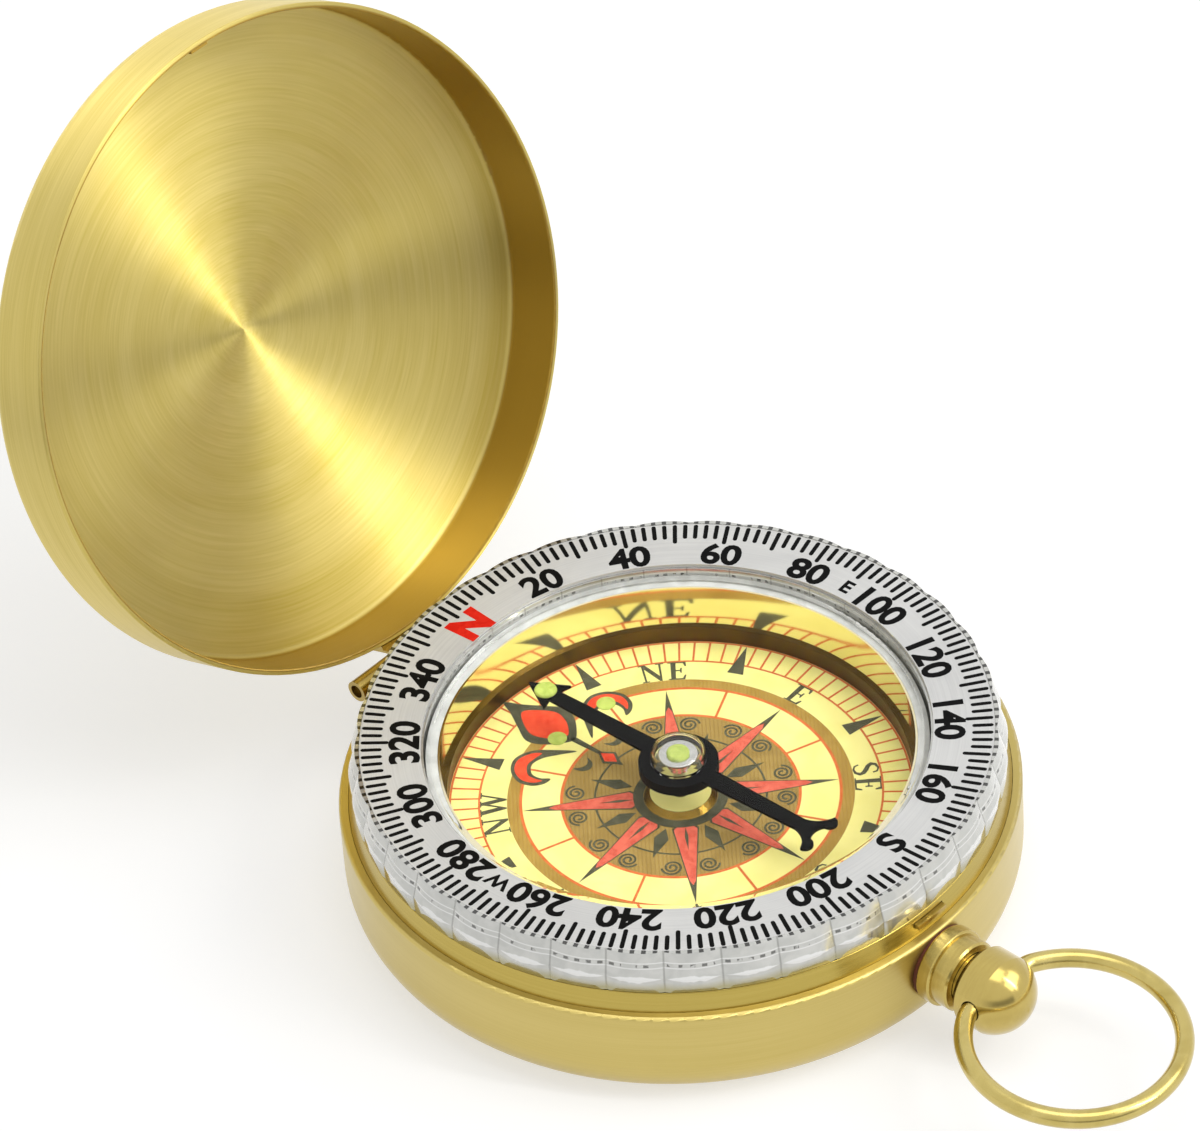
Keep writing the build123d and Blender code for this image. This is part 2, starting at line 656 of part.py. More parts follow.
def lid_shell():
    """The spun lid, slightly domed, with a pressed rib inside its rim opposite the hinge."""
    apex = LID_CEILING + LID_DOME_RISE
    edge = (LID_BORE, LID_CEILING)
    corner = (LID_RADIUS, LID_CEILING + LID_WALL)
    inner_middle = (LID_BORE / 2, dome_point(LID_BORE / 2, apex, LID_DOME_RISE, LID_BORE))
    outer_middle = (LID_RADIUS / 2, dome_point(LID_RADIUS / 2, apex + LID_WALL, LID_DOME_RISE, LID_RADIUS))
    outline = [
        ThreePointArc((0, apex), inner_middle, edge),
        Line(edge, (LID_BORE, LID_RIM)),
        Line((LID_BORE, LID_RIM), (LID_RADIUS, LID_RIM)),
        Line((LID_RADIUS, LID_RIM), corner),
        ThreePointArc(corner, outer_middle, (0, apex + LID_WALL)),
        Line((0, apex + LID_WALL), (0, apex)),
    ]
    face = Sketch() + make_face(outline)
    face = fillet(nearest_vertex(face, corner), LID_EDGE_RADIUS)
    face = fillet(nearest_vertex(face, edge), LID_INNER_ROUND)
    for place in (LID_BORE, LID_RADIUS):
        face = fillet(nearest_vertex(face, (place, LID_RIM)), LID_RIM_ROUND)
    shell = revolve(Plane.XZ * face, Axis.Z)
    rib_top = TONGUE_BOTTOM - SIDE_GAP
    rib = block(
        (LID_BORE - LID_RIB_REACH, -LID_RIB_WIDTH / 2, rib_top - LID_RIB_HEIGHT),
        (LID_BORE + LID_WALL / 2, LID_RIB_WIDTH / 2, rib_top),
    )
    return opened(shell + rib)


def nearest_vertex(face, place):
    """The corner of a face that lies nearest to a place."""
    return min(face.vertices(), key=lambda corner: (Vector(corner.X, corner.Y) - Vector(*place)).length)


def pin_hole(length):
    """The cut for the hinge's pin through a knuckle of the given length."""
    return rod_y(PIN_RADIUS + RUNNING_GAP, length + CUT_OVERSHOOT, -HINGE_OFFSET, HINGE_HEIGHT)


def knuckle(length, y):
    """One rolled tube of the hinge."""
    tube = rod_y(KNUCKLE_RADIUS, length, -HINGE_OFFSET, HINGE_HEIGHT)
    return Pos(0, y, 0) * (tube - pin_hole(length))


def leaf(width, y, low, high, wall_radius):
    """A hinge leaf: a plate from the tube's inner side that fits the round wall it is soldered to."""
    outer = -HINGE_OFFSET + KNUCKLE_RADIUS - JOIN_OVERLAP
    far_end = abs(y) + width / 2
    wall = math.sqrt(wall_radius * wall_radius - far_end * far_end)
    plate = block((outer, y - width / 2, low), (-wall, y + width / 2, high))
    return plate - drum(wall_radius + SEAT_GAP, low - CUT_OVERSHOOT, high + CUT_OVERSHOOT)


def lid_knuckle():
    """The lid's middle knuckle and its leaf, soldered to the outside of the lid's rim."""
    bridge_gap = CASE_RADIUS + SIDE_GAP
    inner = -HINGE_OFFSET + KNUCKLE_RADIUS - JOIN_OVERLAP
    bridge = block(
        (inner, -LID_KNUCKLE_LENGTH / 2, HINGE_HEIGHT),
        (-bridge_gap, LID_KNUCKLE_LENGTH / 2, LID_RIM + LID_SEAT_GAP),
    )
    plate = leaf(LID_KNUCKLE_LENGTH, 0, LID_RIM, LID_RIM + LID_LEAF_HEIGHT, LID_RADIUS)
    clear = pin_hole(LID_KNUCKLE_LENGTH)
    return opened(knuckle(LID_KNUCKLE_LENGTH, 0) + (bridge - clear) + plate)


def case_knuckles():
    """The case's two outer knuckles, each with a leaf down the case's wall."""
    place = LID_KNUCKLE_LENGTH / 2 + SIDE_GAP + CASE_KNUCKLE_LENGTH / 2
    pair = []
    for y in (-place, place):
        plate = leaf(CASE_KNUCKLE_LENGTH, y, HINGE_HEIGHT - CASE_LEAF_HEIGHT, HINGE_HEIGHT, CASE_RADIUS)
        clear = Pos(0, y, 0) * pin_hole(CASE_KNUCKLE_LENGTH)
        pair.append(knuckle(CASE_KNUCKLE_LENGTH, y) + (plate - clear))
    return Compound(children=pair)


def hinge_pin():
    return rod_y(PIN_RADIUS, PIN_LENGTH, -HINGE_OFFSET, HINGE_HEIGHT)


# Crown, stem and latch

def saddle_washer():
    """The fibre washer between the round case wall and the collar's flat flange."""
    disc = turned_on_crown(
        (INNER_RADIUS, SHANK_RADIUS + SEAT_GAP),
        (INNER_RADIUS, SADDLE_RADIUS),
        (FLANGE_START, SADDLE_RADIUS),
        (FLANGE_START, SHANK_RADIUS + SEAT_GAP),
    )
    return disc - drum(CASE_RADIUS + SEAT_GAP, 0, SHOULDER_HEIGHT)


def collar():
    """The stepped collar that guides the crown's stem through the case's wall."""
    step = FLANGE_START + FLANGE_LENGTH
    socket = CROWN_BOSS_RADIUS + RUNNING_GAP
    socket_floor = CROWN_START - CROWN_BOSS_LENGTH - CROWN_TRAVEL - SIDE_GAP
    bore = STEM_RADIUS + RUNNING_GAP
    return turned_on_crown(
        (SHANK_END, bore),
        (SHANK_END, SHANK_RADIUS),
        (FLANGE_START, SHANK_RADIUS),
        (FLANGE_START, FLANGE_RADIUS),
        (step, FLANGE_RADIUS),
        (step, COLLAR_RADIUS),
        (COLLAR_END - COLLAR_CHAMFER, COLLAR_RADIUS),
        (COLLAR_END, COLLAR_RADIUS - COLLAR_CHAMFER),
        (COLLAR_END, socket),
        (socket_floor, socket),
        (socket_floor, bore),
        rounds={3: FLANGE_ROUND, 4: FLANGE_ROUND},
    )


def crown():
    """The push crown: a barrel with a conical back and a domed end, drilled at both sides for the bow."""
    barrel_end = CROWN_START + CROWN_BARREL_END
    tip = CROWN_START + CROWN_LENGTH
    boss_start = CROWN_START - CROWN_BOSS_LENGTH
    rise = tip - barrel_end
    sphere = (CROWN_RADIUS * CROWN_RADIUS + rise * rise) / (2 * rise)
    half_way = CROWN_RADIUS / 2
    dome_middle = (tip - sphere + math.sqrt(sphere * sphere - half_way * half_way), half_way)
    outline = [
        Polyline(
            (tip, 0),
            (boss_start, 0),
            (boss_start, CROWN_BOSS_RADIUS),
            (CROWN_START, CROWN_BOSS_RADIUS),
            (CROWN_START, CROWN_RADIUS - CROWN_CONE_DROP),
            (CROWN_START + CROWN_CONE_LENGTH, CROWN_RADIUS),
            (barrel_end, CROWN_RADIUS),
        ),
        ThreePointArc((barrel_end, CROWN_RADIUS), dome_middle, (tip, 0)),
    ]
    body = Pos(0, 0, CROWN_HEIGHT) * revolve(Plane.XZ * make_face(outline), Axis.X)
    stem_hole = turned_on_crown(
        (boss_start - CUT_OVERSHOOT, 0),
        (boss_start - CUT_OVERSHOOT, STEM_RADIUS + SEAT_GAP),
        (CROWN_START + STEM_IN_CROWN + SEAT_GAP, STEM_RADIUS + SEAT_GAP),
        (CROWN_START + STEM_IN_CROWN + SEAT_GAP, 0),
    )
    body = body - stem_hole
    hole_length = BOW_PIN_DEPTH + SIDE_GAP + CUT_OVERSHOOT
    hole_middle = CROWN_RADIUS + CUT_OVERSHOOT - hole_length / 2
    for side in (-1, 1):
        body = body - Pos(0, side * hole_middle, 0) * rod_y(BOW_HOLE_RADIUS, hole_length, BOW_AT, BOW_HEIGHT)
    return body


def stem():
    """The stem from the crown to the latch, grooved for its clip."""
    groove_start = SHANK_END - SIDE_GAP - CLIP_THICKNESS - SEAT_GAP
    groove_end = SHANK_END - SIDE_GAP + SEAT_GAP
    start = TONGUE_LEG_AT + TONGUE_LEG + SEAT_GAP
    return turned_on_crown(
        (start, 0),
        (start, STEM_RADIUS),
        (groove_start, STEM_RADIUS),
        (groove_start, STEM_RADIUS - CLIP_GROOVE),
        (groove_end, STEM_RADIUS - CLIP_GROOVE),
        (groove_end, STEM_RADIUS),
        (CROWN_START + STEM_IN_CROWN, STEM_RADIUS),
        (CROWN_START + STEM_IN_CROWN, 0),
    )


def stem_clip():
    """The open clip that stops the stem from being pulled out."""
    start = SHANK_END - SIDE_GAP - CLIP_THICKNESS
    end = SHANK_END - SIDE_GAP
    inner = STEM_RADIUS - CLIP_GROOVE + SEAT_GAP
    ring = turned_on_crown((start, inner), (start, CLIP_RADIUS), (end, CLIP_RADIUS), (end, inner))
    mouth = block(
        (start - CUT_OVERSHOOT, -inner, CROWN_HEIGHT - CLIP_RADIUS - CUT_OVERSHOOT),
        (end + CUT_OVERSHOOT, inner, CROWN_HEIGHT),
    )
    return ring - mouth


def latch_tongue():
    """The bent plate on the stem's end whose tongue stands out through the band and holds the shut lid."""
    half = TONGUE_WIDTH / 2
    top = TONGUE_BOTTOM + TONGUE_THICKNESS
    lean = BAND_LEAN * (TONGUE_BOTTOM - SHOULDER_HEIGHT) / BAND_RISE
    tip = BAND_RADIUS - lean + TONGUE_PROUD
    leg = block(
        (TONGUE_LEG_AT, -half, CROWN_HEIGHT - TONGUE_FOOT),
        (TONGUE_LEG_AT + TONGUE_LEG, half, top),
    )
    tongue = block((TONGUE_LEG_AT, -half, TONGUE_BOTTOM), (tip + CUT_OVERSHOOT, half, top))
    nose = drum(tip, TONGUE_BOTTOM - CUT_OVERSHOOT, top + CUT_OVERSHOOT)
    return leg + (tongue & nose)


def return_spring():
    """The bowed leaf spring between the capsule's seat and the latch, which pushes the crown out again."""
    seat_face = CAPSULE_RADIUS + SEAT_GAP + SEAT_LIP
    crest = TONGUE_LEG_AT - SEAT_GAP
    end_x = math.sqrt(seat_face * seat_face - SPRING_HALF_SPAN * SPRING_HALF_SPAN) + SPRING_STAND_OFF
    inner_crest = crest - SPRING_THICKNESS
    inner_end = end_x - SPRING_THICKNESS
    outline = [
        ThreePointArc((end_x, -SPRING_HALF_SPAN), (crest, 0), (end_x, SPRING_HALF_SPAN)),
        Line((end_x, SPRING_HALF_SPAN), (inner_end, SPRING_HALF_SPAN)),
        ThreePointArc((inner_end, SPRING_HALF_SPAN), (inner_crest, 0), (inner_end, -SPRING_HALF_SPAN)),
        Line((inner_end, -SPRING_HALF_SPAN), (end_x, -SPRING_HALF_SPAN)),
    ]
    low = CROWN_HEIGHT - SPRING_HEIGHT / 2
    return Pos(0, 0, low) * extrude(make_face(outline), SPRING_HEIGHT)


def bow_ring():
    """The wire bow ring: its two straight ends sit in the crown, and it hangs a little below level."""
    bend = math.radians(BOW_BEND_ANGLE)
    reach = BOW_RADIUS - BOW_BEND_RADIUS
    bend_start = reach * math.sin(bend)
    middle = BOW_AT + BOW_BEND_RADIUS + reach * math.cos(bend)
    join_x = middle - BOW_RADIUS * math.cos(bend)
    join_y = BOW_RADIUS * math.sin(bend)
    halfway = bend / 2
    bend_x = BOW_AT + BOW_BEND_RADIUS * (1 - math.cos(halfway))
    bend_y = bend_start + BOW_BEND_RADIUS * math.sin(halfway)
    pin_end = CROWN_RADIUS - BOW_PIN_DEPTH
    path = Wire(
        [
            Line((BOW_AT, -pin_end), (BOW_AT, -bend_start)),
            ThreePointArc((BOW_AT, -bend_start), (bend_x, -bend_y), (join_x, -join_y)),
            ThreePointArc((join_x, -join_y), (middle + BOW_RADIUS, 0), (join_x, join_y)),
            ThreePointArc((join_x, join_y), (bend_x, bend_y), (BOW_AT, bend_start)),
            Line((BOW_AT, bend_start), (BOW_AT, pin_end)),
        ]
    )
    start = Plane(origin=(BOW_AT, -pin_end, 0), z_dir=(0, -1, 0))
    wire = sweep(start * Circle(BOW_WIRE_RADIUS), path=path)
    axis = Axis((BOW_AT, 0, BOW_HEIGHT), (0, 1, 0))
    return (Pos(0, 0, BOW_HEIGHT) * wire).rotate(axis, BOW_DROOP)


PIECES = [
    case_shell, mouth_band, capsule_cup, capsule_seat, crystal, slip_washer, dial_card, dial_band,
    mirror_liner, pivot_base, pivot_post, needle, bearing_cap, jewel, hub_washer, hub_lume, hub_dome,
    north_lume, bezel_ring, scale_ring, lid_shell, lid_knuckle, case_knuckles, hinge_pin, saddle_washer,
    collar, crown, stem, stem_clip, latch_tongue, return_spring, bow_ring,
]

os.makedirs("parts", exist_ok=True)
for piece in PIECES:
    export_step(piece(), os.path.join("parts", piece.__name__ + ".step"))
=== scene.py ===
"""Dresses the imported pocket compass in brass, clear acrylic and print, and sets it in a white studio."""

import math

import bpy
from mathutils import Matrix, Vector
from mathutils.geometry import tessellate_polygon


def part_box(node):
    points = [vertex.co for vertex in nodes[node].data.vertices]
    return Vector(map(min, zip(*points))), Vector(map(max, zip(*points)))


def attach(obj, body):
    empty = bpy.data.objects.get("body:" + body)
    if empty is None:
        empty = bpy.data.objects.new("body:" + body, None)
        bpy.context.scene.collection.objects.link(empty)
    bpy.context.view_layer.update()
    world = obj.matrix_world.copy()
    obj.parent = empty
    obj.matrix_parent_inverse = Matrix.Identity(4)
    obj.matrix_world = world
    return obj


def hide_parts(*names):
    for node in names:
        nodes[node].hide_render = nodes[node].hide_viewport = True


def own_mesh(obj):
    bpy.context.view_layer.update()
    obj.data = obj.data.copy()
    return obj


MM = 0.001
PER_METRE = 1000.0       # millimetres in a metre
WHITE = (1, 1, 1, 1)
MIDWAY = 0.5

# Camera, as the photograph was taken
CAMERA_LENS = 210.0
CAMERA_SENSOR = 36.0
CAMERA_AZIMUTH = math.radians(45.595)
CAMERA_TILT = math.radians(40.55)
CAMERA_ROLL = 0.0757
CAMERA_DISTANCE = 511.28 * MM
CAMERA_ASIDE = 5.827 * MM
CAMERA_BELOW = -15.665 * MM
CAMERA_AIM = Vector((0, 0, 8.4)) * MM
CAMERA_NEAR = 10 * MM

# White studio: levels of light, and lengths in metres
WORLD_LEVEL = 0.45       # what the world lights with; where it is seen it is white
FLOOR_REACH = 3.0
FLOOR_TONE = 0.55
FLOOR_GLOW = 0.56        # brings the floor to white where it is seen
FAR_GLOW = 0.22          # more of it further out, which comes in between these two distances
FAR_FROM = 0.2
FAR_TO = 1.4

# The dark flag that shiny metal mirrors: crisp at its left edge and soft at its right one
FLAG_LEFT = math.radians(5)
FLAG_LEFT_BLUR = 0.02
FLAG_RIGHT = math.radians(-65)
FLAG_RIGHT_BLUR = 0.35
FLAG_FOOT = 0.05         # its lower edge fades from the horizon to this, and its head between the next two
FLAG_HEAD = (0.24, 0.36)
FLAG_LEVEL = 0.36

# The lid's own axis, open as it is packed
LID_ANGLE = math.radians(109.4)
HINGE_REACH = 26.0       # from the compass's axis, in mm
HINGE_HEIGHT = 7.5
HINGE = Vector((-HINGE_REACH, 0, HINGE_HEIGHT)) * MM
LID_AXIS = Vector((-math.sin(LID_ANGLE), 0, math.cos(LID_ANGLE)))
LID_MIDDLE = HINGE + HINGE_REACH * MM * Vector((math.cos(LID_ANGLE), 0, math.sin(LID_ANGLE)))
# Painted shade on the lid's inner wall: where the wall lies, and how the shade fades out
LID_BORE = 24.47         # where the lid's inner wall stands, in mm
LID_WALL_EDGE = (0.15, 0.25)  # its painted shade is full within the first of these, and gone past the second
LID_WALL_TOP = 5.7       # its upper end, from the hinge's level
LID_WALL_FADE = 0.15
CASE_MIDDLE = (0, 0, 0)
UPRIGHT = Vector((0, 0, 1))
CROWN_MIDDLE = Vector((0, 0, 5.4)) * MM
ALONG_CROWN = Vector((1, 0, 0))

# Finishes: the values of a noise that bring out its marks, then shares, depths in mm and roughness
NOISE_WIDE = (0.3, 0.7)
NOISE_NARROW = (0.35, 0.65)
NOISE_ON_CLEAR = (0.4, 0.75)
NOISE_ON_BEZEL = (0.35, 0.7)
NOISE_SPECKS = (0.62, 0.74)
SPECK_FINENESS = 9.0     # specks in the width of a smear
FINE_SHARE = 0.6         # of the fine rings in the tone of spun metal; the broad bands have the rest
BROAD_SHARE = 1 - FINE_SHARE
LINE_ROUGHNESS = 0.1     # what the rings and the smears add to the roughness, from none to this
SMEAR_ROUGHNESS = 0.08
METAL_UNEVEN = (0.8, 1.25)
PAINT_UNEVEN = (0.85, 1.15)
SPUN_DEPTH = 0.02
SMEAR_DEPTH = 0.01
SPUN_LACQUER = 0.22
PLAIN_LACQUER = 0.12
BEZEL_GLOSS = 0.03
WORN_CLEAR = 0.97        # how much of its tint a worn speck keeps
HATCH_SCALE = 1500.0
HATCH_WAVER = 0.15
HATCH_STROKE = (0.5, 0.9)
HATCH_STRENGTH = 0.28

# Print
PRINT_LAYER = 0.006      # each printed layer stands this much higher than the one below, in mm
PRINT_SINK = 0.004       # how far a layer reaches down into what it is printed on
CIRCLE_STEPS = 180
DOT_STEPS = 24
BAR_END_STEPS = 6
CURVE_STEPS = 6
WORD_DEPTH = 0.05        # of the built-in type as it is made, before it is thinned
WORD_CURVE_STEPS = 4

# Bezel's clear skirt: heights in mm, and places as shares of a lobe or of a tick's step
BEZEL_LOBES = 36
CREST_HEIGHT = 11.3      # the widest place of the skirt
CREST_ARCH = 0.23        # how far the painted crest highlight arches over a lobe, and how much it swells
CREST_SWELL = 2.2
CREST_EDGE = 0.06
GHOST_HEIGHT = 12.35     # where the painted reflection of the ticks runs round the clear skirt
GHOST_ROW = (0.09, 0.13)
GHOST_TICK = (0.2, 0.26)
GHOST_GAPS = (0.46, 0.52)
GHOST_LINE_AT = 0.2      # the painted highlight lines above and below the row
GHOST_LINE = (0.03, 0.06)
GHOST_STRENGTH = 0.8
RIM_HEIGHT = 13.3        # above this the ticks run out over the clear rim
RIM_FADE = 0.03
RIM_TICK_AT = 0.3        # the ticks' place in each step round the rim
RIM_TICK = (0.18, 0.23)
RIM_STRENGTH = 0.95
CREASE = (0.475, 0.492)  # painted shade: the dark line between two lobes
CREASE_STRENGTH = 0.5
FOOT = (10.25, 10.95)    # the brass behind the skirt is painted into its colour below these heights
FOOT_STRENGTH = 0.85

# Bezel's print, in mm and degrees
BEZEL_TURN = 2.6         # how far the bezel is turned from the hinge, against the clock
SCALE_INNER = 18.65      # the scale ring's inner edge, and how much lower it lies than the outer one
SCALE_DISH = 0.15
TICK_OUTER = 23.0
TICK_INNER = 21.45
LONG_TICK_INNER = 20.95
TICK_WIDTH = 0.33
TICK_STEP = 2
LONG_TICK_STEP = 10
NUMBER_STEP = 20
NUMBER_RADIUS = 19.85
NUMBER_HEIGHT = 2.3
NUMBER_STRETCH = 1.05
NUMBER_WEIGHT = 0.034
NORTH_HEIGHT = 2.7
NORTH_STRETCH = 1.12
NORTH_WEIGHT = 0.065
SMALL_LETTER_HEIGHT = 1.3
NORTH = 0
EAST = 90
SOUTH = 180
WEST = 270

# Dial's print, in mm and degrees
DIAL_TURN = 2.7          # how far the dial is turned from the hinge, against the clock
OUTER_SCALE = (14.8, 16.95)
OUTER_SCALE_CELLS = 90
LINE_WIDTH = 0.16
RING_LINE_WIDTH = LINE_WIDTH * 1.4
RAY_LINE_WIDTH = LINE_WIDTH * 1.2
POINTER_BASE = 13.8
POINTER_TIP = 16.9
POINTER_HALF_WIDTH = 0.62
LETTER_RADIUS = 13.75
LETTER_HEIGHT = 1.95
LETTER_GAP = 0.14        # between two letters, as a share of their height
TAN_RING = (11.75, 12.75)
ROSE_POINTS = 8
POINT_STEP = 360 / ROSE_POINTS
ROSE_RADIUS = 8.75
ROSE_LINE_RADIUS = 6.3
SPIKE_TIP = 11.6
SPIKE_BASE = 3.6
SPIKE_HALF_WIDTH = 1.0
SPIKE_EDGE = 0.13
SPIKE_RED_END = 9.7
SPIKE_RED_NECK = 0.5     # how far the red's shoulders lie before its end
FLECK_TIP = 2.4          # the dark stroke's ends and its widest place, from the point's base
FLECK_WAIST = 0.9
FLECK_FOOT = 0.1
FLECK_HALF_WIDTH = 0.14
KITE_TIP = 6.95
KITE_WAIST = 4.8
KITE_BASE = 3.7
KITE_HALF_WIDTH = 0.55
KITE_NECK_SHARE = 0.3    # the neck's width as a share of the waist's, and its place past their middle
KITE_NECK_RISE = 0.35
SCROLL_RADIUS = 0.78
SCROLL_AT = 7.6
SCROLL_ASIDE = 1.35
SCROLL_TURNS = 2.1
SCROLL_WIDTH = 0.17
SCROLL_CLOSING = 0.84    # how much of its radius the scroll loses on its way in
SCROLL_STEPS = 44
CENTRE_RING = (2.75, 3.5)
BOSS_FACE = (0.7, 2.25)
LUME_DOT_RADIUS = 0.72
LUME_DOTS = ((-0.67, 11.3), (4.45, 10.9))

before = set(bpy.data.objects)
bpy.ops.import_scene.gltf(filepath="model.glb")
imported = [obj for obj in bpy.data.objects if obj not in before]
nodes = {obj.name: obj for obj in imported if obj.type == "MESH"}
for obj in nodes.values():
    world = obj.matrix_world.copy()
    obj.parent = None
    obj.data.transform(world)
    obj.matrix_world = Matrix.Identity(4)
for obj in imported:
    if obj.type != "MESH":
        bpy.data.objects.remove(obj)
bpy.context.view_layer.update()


# Node trees

def start_material(name):
    """A fresh material with a Principled BSDF on its output."""
    material = bpy.data.materials.new(name)
    material.use_nodes = True
    tree = material.node_tree
    tree.nodes.clear()
    output = tree.nodes.new("ShaderNodeOutputMaterial")
    surface = tree.nodes.new("ShaderNodeBsdfPrincipled")
    tree.links.new(surface.outputs["BSDF"], output.inputs["Surface"])
    return material, tree, surface


def add(tree, kind, **settings):
    """A node of a kind, with its settings."""
    made = tree.nodes.new("ShaderNode" + kind)
    for key, value in settings.items():
        setattr(made, key, value)
    return made


def put(tree, socket, value):
    """Joins a socket to another, or sets it to a plain value."""
    if isinstance(value, bpy.types.NodeSocket):
        tree.links.new(value, socket)
    else:
        socket.default_value = value


def sums(tree, operation, *values, clamp=False):
    """A Math node on sockets or numbers."""
    made = add(tree, "Math", operation=operation, use_clamp=clamp)
    for socket, value in zip(made.inputs, values):
        put(tree, socket, value)
    return made.outputs[0]


def vectors(tree, operation, *values):
    """A Vector Math node; a dot product or a length comes out as a number."""
    made = add(tree, "VectorMath", operation=operation)
    for socket, value in zip(made.inputs, values):
        put(tree, socket, value)
    if operation in ("DOT_PRODUCT", "LENGTH"):
        return made.outputs["Value"]
    return made.outputs["Vector"]


def blend_colours(tree, amount, first, second):
    """A colour between two others."""
    made = add(tree, "Mix", data_type="RGBA")
    put(tree, made.inputs["Factor"], amount)
    put(tree, made.inputs[6], first)
    put(tree, made.inputs[7], second)
    return made.outputs[2]


def span(tree, value, low, high, to_low, to_high):
    """A value moved from one range to another, held at its ends."""
    made = add(tree, "MapRange")
    for name, number in (("From Min", low), ("From Max", high), ("To Min", to_low), ("To Max", to_high)):
        made.inputs[name].default_value = number
    put(tree, made.inputs["Value"], value)
    return made.outputs["Result"]


def fade(tree, value, limits, strength=1.0, unit=1.0):
    """A mask that is full where a value is under the first limit, and gone above the second."""
    return span(tree, value, limits[0] * unit, limits[1] * unit, strength, 0.0)


def weigh(tree, first, first_share, second, second_share):
    """The sum of two values, each times its own share."""
    return sums(
        tree,
        "ADD",
        sums(tree, "MULTIPLY", first, first_share),
        sums(tree, "MULTIPLY", second, second_share),
    )


def off_middle(tree, value, middle):
    """How far a value lies from a middle, on either side."""
    return sums(tree, "ABSOLUTE", sums(tree, "SUBTRACT", value, middle))


def about_axis(tree, place, middle, axis):
    """The straight way from an axis out to a place, and how far along the axis the place lies."""
    away = vectors(tree, "SUBTRACT", place, middle)
    along = vectors(tree, "DOT_PRODUCT", away, axis)
    lift = add(tree, "VectorMath", operation="SCALE")
    put(tree, lift.inputs[0], axis)
    put(tree, lift.inputs["Scale"], along)
    return vectors(tree, "SUBTRACT", away, lift.outputs["Vector"]), along


def place_in(tree):
    """The point on the surface in the piece's own space, in metres."""
    return add(tree, "TexCoord").outputs["Object"]


def colour(red, green, blue):
    """A colour given as it looks on a screen, from 0 to 255."""
    return tuple(to_linear(channel / 255) for channel in (red, green, blue)) + (1.0,)


def to_linear(channel):
    """A screen's channel, from 0 to 1, as the light that it stands for."""
    if channel <= 0.04045:
        return channel / 12.92
    return ((channel + 0.055) / 1.055) ** 2.4


def start_group(name, inputs, outputs):
    """A node group with named sockets: inputs as (name, type, default) and outputs as (name, type)."""
    group = bpy.data.node_groups.new(name, "ShaderNodeTree")
    for label, kind, default in inputs:
        socket = group.interface.new_socket(label, in_out="INPUT", socket_type="NodeSocket" + kind)
        socket.default_value = default
    for label, kind in outputs:
        group.interface.new_socket(label, in_out="OUTPUT", socket_type="NodeSocket" + kind)
    return group, group.nodes.new("NodeGroupInput").outputs, group.nodes.new("NodeGroupOutput").inputs


def use_group(tree, group, **values):
    """The group placed in a tree, with its values."""
    made = tree.nodes.new("ShaderNodeGroup")
    made.node_tree = group
    for label, value in values.items():
        put(tree, made.inputs[label], value)
    return made.outputs


# Shared effects

def make_spun_lines():
    """Fine broken rings about an axis, as a lathe leaves them, and broad bands of the same kind."""
    group, given, out = start_group(
        "spun_lines",
        [
            ("Place", "Vector", (0, 0, 0)),
            ("Middle", "Vector", (0, 0, 0)),
            ("Axis", "Vector", (0, 0, 1)),
            ("Pitch", "Float", 0.1),
        ],
        [("Fine", "Float"), ("Broad", "Float")],
    )
    outward, along = about_axis(group, given["Place"], given["Middle"], given["Axis"])
    reach = sums(group, "ADD", vectors(group, "LENGTH", outward), along)
    heading = add(group, "SeparateXYZ")
    put(group, heading.inputs[0], vectors(group, "NORMALIZE", outward))
    scaled = sums(group, "DIVIDE", sums(group, "MULTIPLY", reach, PER_METRE), given["Pitch"])
    for label, stretch, turn in (("Fine", 1.0, 2.2), ("Broad", 0.07, 0.7)):
        spread = add(group, "CombineXYZ")
        put(group, spread.inputs["X"], sums(group, "MULTIPLY", scaled, stretch))
        put(group, spread.inputs["Y"], sums(group, "MULTIPLY", heading.outputs["Y"], turn))
        put(group, spread.inputs["Z"], sums(group, "MULTIPLY", heading.outputs["Z"], turn))
        grain = add(group, "TexNoise")
        put(group, grain.inputs["Vector"], spread.outputs[0])
        grain.inputs["Scale"].default_value = 1.0
        grain.inputs["Detail"].default_value = 3.0
        put(group, out[label], grain.outputs["Fac"])
    return group


def make_handling():
    """Faint smears and specks that a handled surface picks up."""
    group, given, out = start_group(
        "handling",
        [("Place", "Vector", (0, 0, 0)), ("Size", "Float", 6.0)],
        [("Smear", "Float"), ("Specks", "Float")],
    )
    scale = sums(group, "DIVIDE", PER_METRE, given["Size"])
    smear = add(group, "TexNoise")
    put(group, smear.inputs["Vector"], given["Place"])
    put(group, smear.inputs["Scale"], scale)
    smear.inputs["Detail"].default_value = 5.0
    smear.inputs["Distortion"].default_value = 0.8
    put(group, out["Smear"], smear.outputs["Fac"])
    specks = add(group, "TexNoise")
    put(group, specks.inputs["Vector"], given["Place"])
    put(group, specks.inputs["Scale"], sums(group, "MULTIPLY", scale, SPECK_FINENESS))
    specks.inputs["Detail"].default_value = 2.0
    put(group, out["Specks"], span(group, specks.outputs["Fac"], *NOISE_SPECKS, 0.0, 1.0))
    return group


SPUN_LINES = make_spun_lines()
HANDLING = make_handling()


def smear_tone(tree, marks):
    """How far the smears take a colour from its dark to its light tone."""
    return span(tree, marks["Smear"], *NOISE_NARROW, 0.0, 1.0)


def smear_roughness(tree, marks, low, high):
    """A roughness that goes from low to high with the smears."""
    return span(tree, marks["Smear"], *NOISE_WIDE, low, high)


def add_relief(tree, surface, height, strength, depth):
    """Small bumps on a surface, with their depth in mm."""
    bump = add(tree, "Bump")
    bump.inputs["Strength"].default_value = strength
    bump.inputs["Distance"].default_value = depth * MM
    put(tree, bump.inputs["Height"], height)
    put(tree, surface.inputs["Normal"], bump.outputs["Normal"])


# Metals

